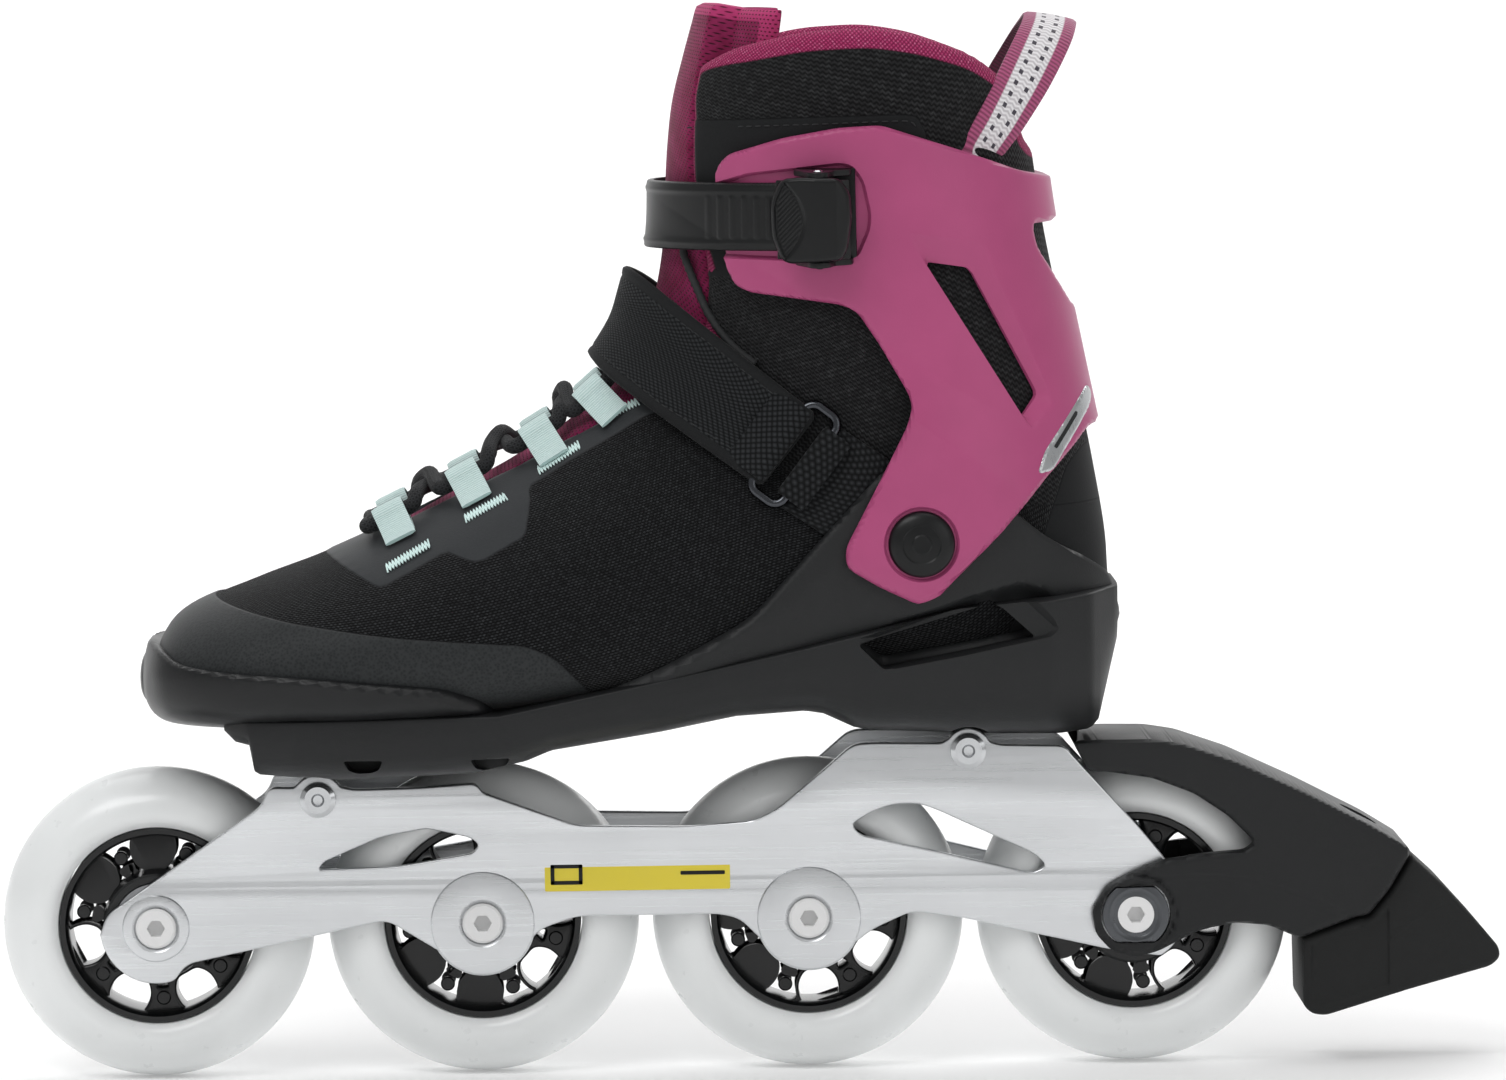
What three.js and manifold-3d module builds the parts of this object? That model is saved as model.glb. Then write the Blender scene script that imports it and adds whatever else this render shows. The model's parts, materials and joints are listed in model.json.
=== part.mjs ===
// Inline skate, left foot: soft boot on a moulded shell, hinged cuff, two-rail frame,
// four wheels and a heel brake. Millimetres, +Z up, toe towards -X, outer side towards -Y.
import * as THREE from "three";
import { mergeVertices } from "three/addons/utils/BufferGeometryUtils.js";
import Module from "manifold-3d";

const wasm = await Module();
wasm.setup();

// ---- driving dimensions ----
const WHEEL_D = 80;
const WHEEL_W = 24;
const WHEEL_SPACE = 3.5;
const BOOT_WIDTH = 98;
const AXLE_D = 7.8;
const AXLE_HEAD_D = 10.2;
const BEARING_OD = 22;
const BEARING_W = 6.8;
const SPOKES = 7;
const RAIL_OUT = 15.5;
const RAIL_WALL = 2.6;
const RAIL_FLARE = 3;
const SHELL_WALL = 3;
const CUFF_WALL = 3;
const RECESS_WALL = 1.4;
const STRAP_T = 1.7;
const LACE_D = 4;
const RING_WIRE = 2.4;
const WEB_T = 1.5;
const GAP = 0.3;
const SLIP = 0.4;

// The side outlines below are drawn for 80 mm wheels and grow with the wheel.
const K = WHEEL_D / 80;
const KW = BOOT_WIDTH / 98;
const WHEEL_R = WHEEL_D / 2;
const PITCH = WHEEL_D + WHEEL_SPACE * K;
const AXLE_X = [-1.5, -0.5, 0.5, 1.5].map((i) => i * PITCH);
const AXLE_Z = WHEEL_R;
const RAIL_IN = RAIL_OUT - RAIL_WALL;
const PIVOT = [70.8 * K, 137.7 * K];
const SHELL_HALF = 40.4 * KW;
const SHELL_OUT = SLIP + 0.05 + SHELL_WALL;

// Boot sections from toe to top. Each is a closed oval through an upper point and a lower
// point of the side outline: [upper x, z, lower x, z, half width, shift towards the inner side,
// roundness above, roundness below, widest height, wall].
const LAST = [
  [-124.4, 107.5, -124.2, 99, 13, 5, 2, 2.4, 0.45, 4],
  [-122.6, 113.5, -122, 96, 24.5, 5, 2, 2.6, 0.43, 4],
  [-118, 119.3, -117, 95, 34, 4.5, 2, 2.8, 0.4, 4],
  [-107, 125, -106, 94.6, 42, 3.5, 2, 3, 0.38, 4],
  [-90, 131.3, -88, 94.3, 47, 2, 2, 3, 0.36, 4],
  [-70, 139.2, -64, 94, 49, 1, 2, 3, 0.36, 4],
  [-50, 149.6, -38, 94, 48.5, 0.5, 1.95, 3, 0.36, 4],
  [-30, 161, -10, 95.5, 46, 0, 1.9, 3, 0.37, 4.5],
  [-12, 173.5, 22, 98.5, 42.5, 0, 1.9, 2.8, 0.38, 5],
  [-2, 185.5, 58, 101.5, 38.5, 0, 1.9, 2.6, 0.4, 5.5],
  [2.5, 196, 98, 102.5, 36.5, 0, 1.9, 2.5, 0.42, 6],
  [5, 206, 117.5, 112, 36.5, 0, 2, 2.4, 0.45, 6.5],
  [6.3, 216, 119.8, 131, 37.5, 0, 2, 2.2, 0.48, 7],
  [6.8, 226, 116.5, 155, 39, 0, 2.1, 2.2, 0.5, 7],
  [7.5, 237, 110.5, 185, 40, 0, 2.2, 2.2, 0.5, 7],
  [9, 249, 104.5, 215, 41, 0, 2.2, 2.2, 0.5, 7],
  [12, 261, 101, 240, 41.5, 0, 2.2, 2.2, 0.5, 7],
  [15.5, 274, 98, 264, 42, 0, 2.2, 2.2, 0.5, 7],
  [18, 286, 97, 280, 42, 0, 2.2, 2.2, 0.5, 7],
];
const TOP = LAST.length - 1;

// ---- helpers ----
function solid(geometry) {
  const bare = new THREE.BufferGeometry();
  const plain = geometry.index ? geometry.toNonIndexed() : geometry;
  bare.setAttribute("position", plain.getAttribute("position").clone());
  const merged = mergeVertices(bare, 1e-4);
  const index = merged.index.array;
  const keep = [];
  for (let i = 0; i < index.length; i += 3) {
    const [a, b, c] = [index[i], index[i + 1], index[i + 2]];
    if (a !== b && b !== c && c !== a) keep.push(a, b, c);
  }
  const mesh = new wasm.Mesh({
    numProp: 3,
    vertProperties: new Float32Array(merged.attributes.position.array),
    triVerts: new Uint32Array(keep),
  });
  return new wasm.Manifold(mesh);
}

const group = new THREE.Group();

function piece(name, body, material) {
  const mesh = body.getMesh();
  const count = mesh.vertProperties.length / mesh.numProp;
  const position = new Float32Array(count * 3);
  for (let i = 0; i < count; i++) {
    for (let k = 0; k < 3; k++) {
      position[3 * i + k] = mesh.vertProperties[mesh.numProp * i + k];
    }
  }
  const geometry = new THREE.BufferGeometry();
  geometry.setAttribute("position", new THREE.BufferAttribute(position, 3));
  geometry.setIndex(new THREE.BufferAttribute(new Uint32Array(mesh.triVerts), 1));
  geometry.computeVertexNormals();
  const made = new THREE.Mesh(geometry, material);
  made.name = name;
  group.add(made);
  return made;
}

// A side outline, scaled with the wheel.
const side = (points) => points.map(([x, z]) => [x * K, z * K]);

// A Shape through the points with its corners rounded.
function rounded(points, radius = 0) {
  const shape = new THREE.Shape();
  const n = points.length;
  points.forEach(([x, y], i) => {
    const [px, py] = points[(i + n - 1) % n];
    const [qx, qy] = points[(i + 1) % n];
    const before = Math.hypot(px - x, py - y);
    const after = Math.hypot(qx - x, qy - y);
    const r = Math.min(radius, before / 2.2, after / 2.2);
    const ax = x + ((px - x) * r) / before;
    const ay = y + ((py - y) * r) / before;
    const bx = x + ((qx - x) * r) / after;
    const by = y + ((qy - y) * r) / after;
    if (i === 0) shape.moveTo(ax, ay);
    else shape.lineTo(ax, ay);
    if (radius > 0) shape.quadraticCurveTo(x, y, bx, by);
  });
  shape.closePath();
  return shape;
}

// A Shape in the XZ plane, extruded from y0 to y1.
function prism(shape, y0, y1, steps = 3) {
  const made = shape instanceof THREE.Shape ? shape : rounded(shape, 0);
  const g = new THREE.ExtrudeGeometry(made, {
    depth: y1 - y0,
    bevelEnabled: false,
    curveSegments: steps,
  });
  g.rotateX(Math.PI / 2);
  g.translate(0, y1, 0);
  return solid(g);
}

// A Shape in the XY plane, extruded from z0 to z1.
function upright(shape, z0, z1, steps = 4) {
  const g = new THREE.ExtrudeGeometry(shape, {
    depth: z1 - z0,
    bevelEnabled: false,
    curveSegments: steps,
  });
  g.translate(0, 0, z0);
  return solid(g);
}

function box(x0, x1, y0, y1, z0, z1) {
  const g = new THREE.BoxGeometry(x1 - x0, y1 - y0, z1 - z0);
  g.translate((x0 + x1) / 2, (y0 + y1) / 2, (z0 + z1) / 2);
  return solid(g);
}

// A cylinder along Y.
function rod(x, z, radius, y0, y1, segments = 20) {
  const g = new THREE.CylinderGeometry(radius, radius, y1 - y0, segments);
  g.translate(x, (y0 + y1) / 2, z);
  return solid(g);
}

// A profile of [radius, y] points turned round a line along Y.
function turned(x, z, profile, segments) {
  const points = profile.map(([r, y]) => new THREE.Vector2(r, y));
  const g = new THREE.LatheGeometry(points, segments);
  g.translate(x, 0, z);
  const made = solid(g);
  return made;
}

// The solid of a reshaped geometry, whichever way its faces came out.
function eitherWay(g) {
  const made = solid(g);
  if (made.volume() > 0) return made;
  const f = g.index.array;
  for (let i = 0; i < f.length; i += 3) [f[i + 1], f[i + 2]] = [f[i + 2], f[i + 1]];
  return solid(g);
}

// A signed power, flat at zero.
const bow = (v, e) => (Math.abs(v) < 1e-6 ? 0 : Math.sign(v) * Math.abs(v) ** (2 / e));

const join = (list) => list.reduce((a, b) => a.add(b));

// The biggest body of a cut, without the slivers beside it.
function largest(body) {
  return body.decompose().sort((u, v) => v.volume() - u.volume())[0];
}

// One row of the section table at any place s between its rows.
function rowAt(s) {
  const c = Math.max(0, Math.min(TOP - 1e-6, s));
  const i = Math.floor(c);
  const t = c - i;
  const at = (k) => LAST[Math.max(0, Math.min(TOP, k))];
  return LAST[i].map((_, k) => {
    const [a, b, d, e] = [at(i - 1)[k], at(i)[k], at(i + 1)[k], at(i + 2)[k]];
    const smooth =
      2 * b + (d - a) * t + (2 * a - 5 * b + 4 * d - e) * t * t +
      (3 * b - a - 3 * d + e) * t * t * t;
    return smooth / 2;
  });
}

// A point on the boot's skin, grown by dT above, dB below and dW at the sides.
function skin(s, angle, dT, dB, dW) {
  const [tx, tz, bx, bz, half, shift, eT, eB, widest] = rowAt(s);
  const upper = new THREE.Vector2(tx * K, tz * K);
  const lower = new THREE.Vector2(bx * K, bz * K);
  const along = upper.clone().sub(lower).normalize();
  upper.addScaledVector(along, dT);
  lower.addScaledVector(along, -dB);
  const length = upper.distanceTo(lower);
  const centre = lower.clone().addScaledVector(along, widest * length);
  const c = Math.cos(angle);
  const v = Math.sin(angle);
  const e = v > 0 ? eT : eB;
  const reach = v > 0 ? (1 - widest) * length : widest * length;
  const y = shift + (half * KW + dW) * bow(c, e);
  const r = reach * bow(v, e);
  return new THREE.Vector3(centre.x + along.x * r, y, centre.y + along.y * r);
}

// The boot's skin as a closed solid, between two places of the section table. The growth
// is a number or a function of s that gives [above, below, sides].
function last(growth, from = 0, to = TOP, around = 20, stretch = 0) {
  const grow = typeof growth === "function" ? growth : () => [growth, growth, growth];
  const rows = Math.round(to - from);
  const g = new THREE.CylinderGeometry(1, 1, rows, around, rows);
  const p = g.getAttribute("position");
  for (let i = 0; i < p.count; i++) {
    const s = from + (p.getY(i) / rows + 0.5) * (to - from);
    const [dT, dB, dW] = grow(s);
    const radius = Math.hypot(p.getX(i), p.getZ(i));
    const angle = Math.atan2(p.getZ(i), p.getX(i));
    const at = skin(s, angle, dT, dB, dW);
    if (radius < 0.5) {
      const low = skin(s, -Math.PI / 2, dT, dB, dW);
      const high = skin(s, Math.PI / 2, dT, dB, dW);
      at.addVectors(low, high).multiplyScalar(0.5);
    }
    if (s < from + 0.01 && from === 0) at.x -= dW * 0.9;
    if (s > to - 0.01) at.z += stretch;
    p.setXYZ(i, at.x, at.y, at.z);
  }
  return eitherWay(g);
}

// The place on the outer skin that shows at (x, z) from one side; way is -1 or 1 along Y.
function sidePlace(x, z, way, d) {
  let best = null;
  let least = Infinity;
  for (let s = 4; s < TOP; s += 0.1) {
    for (let k = -30; k <= 30; k++) {
      const open = (k / 30) * 1.5;
      const angle = way > 0 ? open : Math.PI - open;
      const p = skin(s, angle, d, d, d);
      const far = Math.hypot(p.x - x * K, p.z - z * K);
      if (far < least) {
        least = far;
        best = { s, angle, p };
      }
    }
  }
  return best;
}

// Axes at a place on the skin: n out, a towards the boot's top, b across.
function axesAt(place, d) {
  const { s, angle } = place;
  const at = skin(s, angle, d, d, d);
  const a = skin(s + 0.05, angle, d, d, d).sub(skin(s - 0.05, angle, d, d, d)).normalize();
  const b = skin(s, angle + 0.03, d, d, d).sub(skin(s, angle - 0.03, d, d, d)).normalize();
  const n = new THREE.Vector3().crossVectors(b, a).normalize();
  if (n.y * (at.y - 0) < 0) n.negate();
  return { at, a, b, n };
}

function place(body, x, y, z, origin) {
  const m = new THREE.Matrix4().makeBasis(x, y, z).setPosition(origin);
  const mesh = body.getMesh();
  const n = mesh.numProp;
  const v = new THREE.Vector3();
  const out = new Float32Array((mesh.vertProperties.length / n) * 3);
  for (let i = 0; i < out.length / 3; i++) {
    v.fromArray(mesh.vertProperties, i * n).applyMatrix4(m);
    v.toArray(out, 3 * i);
  }
  const g = new THREE.BufferGeometry();
  g.setAttribute("position", new THREE.BufferAttribute(out, 3));
  g.setIndex(new THREE.BufferAttribute(new Uint32Array(mesh.triVerts), 1));
  return solid(g);
}

const paint = (color, roughness, metalness = 0) =>
  new THREE.MeshStandardMaterial({ color, roughness, metalness });

const MAT = {
  tyre: paint(0xe4e5e3, 0.35),
  hub: paint(0x17181a, 0.3),
  steel: paint(0xb9bcc0, 0.3, 1),
  alloy: paint(0xd2d4d6, 0.35, 1),
  shell: paint(0x2c2d2e, 0.55),
  bumper: paint(0x232425, 0.45),
  cuff: paint(0xa8497a, 0.4),
  mesh: paint(0x161718, 0.9),
  knit: paint(0x1b1c1d, 0.9),
  tongue: paint(0x7a1f4a, 0.9),
  insole: paint(0x3a3b3d, 0.95),
  lace: paint(0x121212, 0.85),
  mint: paint(0xbfe0dc, 0.8),
  webbing: paint(0x151515, 0.85),
  loop: paint(0x9c2a5e, 0.85),
  black: paint(0x1d1e20, 0.4),
  rubber: paint(0x303131, 0.7),
};

// ---- boot solids shared by the parts that follow it ----
const wallAt = (s) => rowAt(s)[9];
const BOOT = last(0);
const CAVITY = last((s) => [-wallAt(s), -wallAt(s), -wallAt(s)], 0, TOP, 20, 12);
const CLEAR = last(SLIP);
const BIG = 400;

// Opening of the boot over the instep and at the front of the leg, seen from above.
function throat(inset) {
  const half = [
    [-66 + inset, 7],
    [-56, 11],
    [-35, 14],
    [-8, 18],
    [8, 21],
    [24 - inset, 21],
  ];
  const near = half.map(([x, y]) => [x * K, -(y - inset) * KW]);
  const far = half.map(([x, y]) => [x * K, (y - inset) * KW]).reverse();
  return upright(rounded([...near, ...far], 4), 120 * K, 320 * K, 2);
}

// ---- wheels ----
function tyre(name, x) {
  const core = 25.1 * K + GAP;
  const w = WHEEL_W / 2;
  const half = [
    [core, 0.85 * w],
    [28 * K, w],
    [34 * K, 0.88 * w],
    [38 * K, 0.57 * w],
    [WHEEL_R, 0.14 * w],
  ];
  const profile = [...half, ...half.map(([r, y]) => [r, -y]).reverse(), half[0]];
  return piece(name, turned(x, AXLE_Z, profile.reverse(), 26), MAT.tyre);
}

function hub(name, x) {
  const seat = BEARING_OD / 2 + GAP;
  const half = [
    [seat, 11.6],
    [seat + 2.3, 11.6],
    [seat + 3, 6.5],
    [23.2 * K, 5.5],
    [23.2 * K, 9.8],
    [25.1 * K, 9.8],
  ];
  const profile = [...half, ...half.map(([r, y]) => [r, -y]).reverse(), half[0]];
  let body = turned(x, AXLE_Z, profile.reverse(), 2 * SPOKES);
  const inner = (seat + 3.8) / K;
  const window = [
    [inner, 1.8],
    [inner + 4.5, 5.4],
    [22.4, 4.6],
    [22.4, -4.6],
    [inner + 4.5, -5.4],
    [inner, -1.8],
  ];
  for (let i = 0; i < SPOKES; i++) {
    const t = ((i + 0.5) * 2 * Math.PI) / SPOKES;
    const turn = window.map(([r, w]) => [
      x + (r * Math.cos(t) - w * Math.sin(t)) * K,
      AXLE_Z + (r * Math.sin(t) + w * Math.cos(t)) * K,
    ]);
    body = body.subtract(prism(turn, -12, 12));
  }
  return piece(name, body, MAT.hub);
}

function bearing(name, x, way) {
  const bore = AXLE_D / 2 + GAP;
  const edge = BEARING_OD / 2 - 0.05;
  const y0 = way > 0 ? 5.15 : -5.15 - BEARING_W;
  const y1 = y0 + BEARING_W;
  const profile = [[bore, y0], [edge, y0], [edge, y1], [bore, y1], [bore, y0]];
  return piece(name, turned(x, AXLE_Z, profile, 14), MAT.steel);
}

function spacer(name, x) {
  const bore = AXLE_D / 2 + GAP;
  const profile = [[bore, -4.8], [bore + 1.6, -4.8], [bore + 1.6, 4.8], [bore, 4.8], [bore, -4.8]];
  return piece(name, turned(x, AXLE_Z, profile, 10), MAT.alloy);
}

// Shaft with a round head each side; the outer head has a hexagon socket.
function axle(name, x, face) {
  const r = AXLE_D / 2;
  const head = AXLE_HEAD_D / 2;
  const end = face + 1.5;
  const profile = [
    [0, -end], [head - 0.5, -end], [head, -end + 0.5], [head, -face], [r, -face],
    [r, face], [head, face], [head, end - 0.5], [head - 0.5, end], [0, end],
  ];
  const body = turned(x, AXLE_Z, profile, 12);
  const socket = new THREE.CylinderGeometry(2.4, 2.4, 6, 6);
  socket.translate(x, -end, AXLE_Z);
  return piece(name, body.subtract(solid(socket)), MAT.steel);
}

const HEAD_SEAT = RAIL_OUT - 1 + GAP;
const BRAKE_FACE = RAIL_OUT + 2.4;
AXLE_X.forEach((x, i) => {
  const n = "wheel_" + (i + 1);
  tyre(n + "_tyre", x);
  hub(n + "_hub", x);
  bearing(n + "_bearing_outer", x, -1);
  bearing(n + "_bearing_inner", x, 1);
  spacer(n + "_spacer", x);
  axle(n + "_axle", x, i === 3 ? BRAKE_FACE : HEAD_SEAT);
});

// Room for the wheels in the parts over them.
const WELLS = join(AXLE_X.map((x) => rod(x, AXLE_Z, WHEEL_R + 1.8, -13.6, 13.6, 20)));

// ---- frame ----
const FRONT_MOUNT = [-83.1 * K, 72.8 * K];
const REAR_MOUNT = [82.9 * K, 82.8 * K];
const EAR_R = 6.5;

const RAIL_SIDE = side([
  [-139, 36], [-138.6, 42], [-134, 46.2], [-96.3, 72.4], [-95.6, 76],
  [-42.4, 76], [-42.4, 74.5], [-17.4, 65], [29, 65], [54.6, 85],
  [108.2, 85], [111, 81], [136, 54], [138.5, 40], [134, 31],
  [118.6, 30.6], [68.3, 41.2], [58, 37], [48, 31], [41.7, 29.8], [36, 31],
  [24, 39.5], [18.6, 41.4], [-18, 41.4], [-27.5, 38], [-37, 31],
  [-41.9, 29.8], [-47, 31], [-55, 35.8], [-68.9, 41.4], [-117.6, 30.6],
  [-125.5, 29.6], [-133.5, 31.2],
]);

// End view of the rails: narrow at the axles, flared at the boot.
function railEnd(grow) {
  const low = RAIL_OUT + grow;
  const high = RAIL_OUT + RAIL_FLARE + grow;
  const half = [[low, 20], [low, 54], [high, 70], [high, 100]].map(([y, z]) => [y, z * K]);
  const all = [...half, ...half.map(([y, z]) => [-y, z]).reverse()];
  const g = new THREE.ExtrudeGeometry(rounded(all, 0), { depth: BIG, bevelEnabled: false });
  g.rotateX(Math.PI / 2);
  g.rotateZ(Math.PI / 2);
  g.translate(-BIG / 2, 0, 0);
  const made = solid(g);
  return made;
}

function frame() {
  const ears = [FRONT_MOUNT, REAR_MOUNT].map(([x, z]) => rod(x, z, EAR_R, -30, 30, 12));
  let body = prism(RAIL_SIDE, -30, 30).add(join(ears));
  body = body.intersect(railEnd(0));
  const channel = railEnd(-RAIL_WALL);
  const bridges = join([
    box(-92 * K, -74 * K, -30, 30, 61.5 * K, 66.5 * K),
    box(64 * K, 102 * K, -30, 30, 73.5 * K, 77.5 * K),
  ]);
  body = body.subtract(channel.subtract(bridges));
  body = body.subtract(WELLS);
  const bosses = AXLE_X.map((x) =>
    rod(x, AXLE_Z, 8.5, -RAIL_OUT + 0.5, RAIL_OUT - 0.5, 12).subtract(
      rod(x, AXLE_Z, 9, -12.3, 12.3, 12),
    ),
  );
  body = body.add(join(bosses));
  AXLE_X.forEach((x) => {
    body = body.subtract(rod(x, AXLE_Z, AXLE_D / 2 + GAP + 0.1, -30, 30, 12));
    const seat = AXLE_HEAD_D / 2 + 0.5;
    body = body.subtract(rod(x, AXLE_Z, seat, -30, -RAIL_OUT + 1, 12));
    body = body.subtract(rod(x, AXLE_Z, seat, RAIL_OUT - 1, 30, 12));
  });
  [FRONT_MOUNT, REAR_MOUNT].forEach(([x, z]) => {
    body = body.subtract(rod(x, z, 3 + GAP + 0.1, -30, 30, 10));
  });
  const windowFront = side([
    [-83.6, 53.4], [-81.5, 56.8], [-67, 63], [-55.6, 64.8], [-44.6, 62.2],
    [-42.2, 59.6], [-44.4, 57.8], [-62.9, 54.9],
  ]);
  const windowRear = side([
    [53, 63.2], [58.6, 67.6], [67, 69.7], [74.1, 67.7], [99.6, 55.7],
    [102.7, 52.2], [100.5, 50.5], [74, 56.9], [55.4, 61],
  ]);
  body = body.subtract(prism(windowFront, -30, 30));
  body = body.subtract(prism(windowRear, -30, 30));
  return piece("frame", body, MAT.alloy);
}
frame();

function crossRivet(name, [x, z]) {
  const face = RAIL_OUT + RAIL_FLARE + GAP;
  const profile = [
    [0, -face - 0.6], [2.2, -face - 1.4], [4, -face - 1.4], [4.6, -face - 0.8],
    [4.6, -face], [3, -face], [3, face], [4.6, face], [4.6, face + 0.8],
    [4, face + 1.4], [0, face + 1.4],
  ];
  return piece(name, turned(x, z, profile, 10), MAT.steel);
}
crossRivet("rivet_front", FRONT_MOUNT);
crossRivet("rivet_rear", REAR_MOUNT);

// ---- shell ----
const SHELL_SIDE = side([
  [-106, 91.2], [-104, 88], [-99.4, 87], [-98, 76.4], [-42, 76.4],
  [-39, 79], [-29.8, 82], [4.4, 88.8], [23.7, 92.4], [41.4, 93.3],
  [48, 91], [53, 85.4], [112, 85.4], [116.4, 88.9], [140, 109], [140, 126],
  [114.4, 131.4], [103, 138.4], [97, 148], [84, 156], [66, 158.5],
  [47.3, 141], [27.7, 119], [4.7, 105.3], [-9.4, 98.8], [-26.1, 92.4],
  [-36, 91.2],
]);

// The base under the boot, narrowing down to the frame.
function baseBlock() {
  const rows = [
    [-107, 84, 34, 98], [-96, 76.2, 40, 98], [-60, 76.2, 44, 98], [-36, 76.2, 44.5, 99],
    [0, 80, 43, 103], [40, 85, 39.5, 112], [80, 85.2, 39.3, 122], [104, 85.2, 38, 125],
    [116, 86, 30, 126], [123, 95, 14, 126],
  ];
  const n = rows.length - 1;
  const g = new THREE.CylinderGeometry(1, 1, n, 16, n);
  const p = g.getAttribute("position");
  for (let i = 0; i < p.count; i++) {
    const [x, low, half, high] = rows[Math.round(p.getY(i) + n / 2)];
    const radius = Math.hypot(p.getX(i), p.getZ(i));
    const angle = Math.atan2(p.getZ(i), p.getX(i));
    const c = Math.cos(angle);
    const v = Math.sin(angle);
    const e = v > 0 ? 6 : 2.6;
    const reach = v > 0 ? 2 : high - low - 2;
    const y = radius < 0.5 ? 0 : half * bow(c, e);
    const z = radius < 0.5 ? 0 : reach * bow(v, e);
    p.setXYZ(i, x * K, y * KW, (high - 2 + z) * K);
  }
  return eitherWay(g);
}

function pivotHole(radius) {
  return rod(PIVOT[0], PIVOT[1], radius, -80, 80, 14);
}

function shell() {
  const wrap = last(SHELL_OUT, 5, TOP - 4).subtract(box(-BIG, -36 * K, -90, 90, 0, BIG));
  const wide = box(-BIG, BIG, -SHELL_HALF, SHELL_HALF, 0, BIG);
  const outline = prism(SHELL_SIDE, -90, 90);
  const heel = wrap.intersect(box(40 * K, BIG, -90, 90, 0, BIG)).intersect(wide);
  const arch = wrap.intersect(box(-BIG, 40.01 * K, -90, 90, 0, BIG));
  let body = join([heel, arch, baseBlock()]).intersect(outline);
  const lugs = join([
    box(-92 * K, -74 * K, -RAIL_IN - RAIL_FLARE + GAP, RAIL_IN + RAIL_FLARE - GAP,
      66.5 * K + GAP, 80 * K),
    box(66 * K, 100 * K, -RAIL_IN - RAIL_FLARE + GAP, RAIL_IN + RAIL_FLARE - GAP,
      77.5 * K + GAP, 90 * K),
  ]).intersect(railEnd(-RAIL_WALL - GAP));
  body = body.add(lugs);
  body = body.subtract(CLEAR);
  const front = box(-BIG, -34.5 * K, -90, 90, 91 * K - GAP, BIG);
  body = body.subtract(front).subtract(WELLS);
  [FRONT_MOUNT, REAR_MOUNT].forEach(([x, z]) => {
    body = body.subtract(rod(x, z, 3 + GAP + 0.1, -40, 40, 10));
    body = body.subtract(rod(x, z, EAR_R + SLIP, -60, -RAIL_OUT + 0.5, 12));
    body = body.subtract(rod(x, z, EAR_R + SLIP, RAIL_OUT - 0.5, 60, 12));
  });
  // The ears' pockets leave the lugs whole between the rails.
  const keep = lugs.intersect(box(-BIG, BIG, -RAIL_IN - 2, RAIL_IN + 2, 0, 91 * K - GAP));
  body = body.add(keep.subtract(WELLS));
  [FRONT_MOUNT, REAR_MOUNT].forEach(([x, z]) => {
    body = body.subtract(rod(x, z, 3 + GAP + 0.1, -40, 40, 10));
  });
  body = body.subtract(CLEAR);
  // Heel windows and the slots along the base.
  const window = side([[54.5, 112.3], [88.3, 122.1], [91.5, 120.6], [99.5, 113.6], [61, 105.8]]);
  body = body.subtract(prism(window, -90, -20));
  body = body.subtract(prism(window, 20, 90));
  [[-75.6, -65.6], [-43.6, -33.6]].forEach(([x0, x1]) => {
    const slot = side([[x0, 85], [x0 + 2, 81.6], [x1 - 2, 81.6], [x1, 85]]);
    body = body.subtract(prism(slot, -60, -32 * KW)).subtract(prism(slot, 32 * KW, 60));
  });
  body = body.subtract(pivotHole(4 + GAP));
  return piece("shell", body, MAT.shell);
}
shell();

// ---- toe bumper ----
function toeBumper() {
  const outline = side([
    [-140, 91], [-34.8, 91], [-34.8, 93.6], [-39.3, 97.4], [-50.8, 102.5], [-67.4, 104.6],
    [-84, 106.8], [-104.7, 107.9], [-118, 110], [-128, 113.6], [-140, 114],
  ]);
  const ring = last(SLIP + 3, 0, 9).subtract(CLEAR);
  return piece("toe_bumper", ring.intersect(prism(outline, -90, 90)), MAT.bumper);
}
toeBumper();

// ---- soft boot ----
// The boot's leg part and foot part meet along this line.
const SPLIT = [[-40, 203], [8, 184], [36, 161], [56, 148], [90, 146], [150, 146]];
const THROAT = throat(0);

function bootFoot() {
  const below = side([...SPLIT, [150, 60], [-150, 60], [-150, 203]]);
  let body = BOOT.subtract(CAVITY).subtract(THROAT);
  body = body.intersect(prism(below, -90, 90));
  return piece("boot_foot", body, MAT.mesh);
}
bootFoot();

const COLLAR_TOP = [
  [100.8, 236], [98, 248], [94.6, 253.8], [85.1, 261.1], [72.5, 265.4],
  [59.9, 267.4], [43.1, 266.7], [24.6, 263.2], [17, 258.7], [12.6, 249.5],
];

function bootCollar() {
  const raised = SPLIT.map(([x, z]) => [x, z + GAP + 0.1]);
  const above = side([...raised, [150, 236], ...COLLAR_TOP, [-40, 249.5]]);
  let body = BOOT.subtract(CAVITY).subtract(THROAT);
  body = body.intersect(prism(above, -90, 90));
  return piece("boot_collar", body, MAT.knit);
}
bootCollar();

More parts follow.
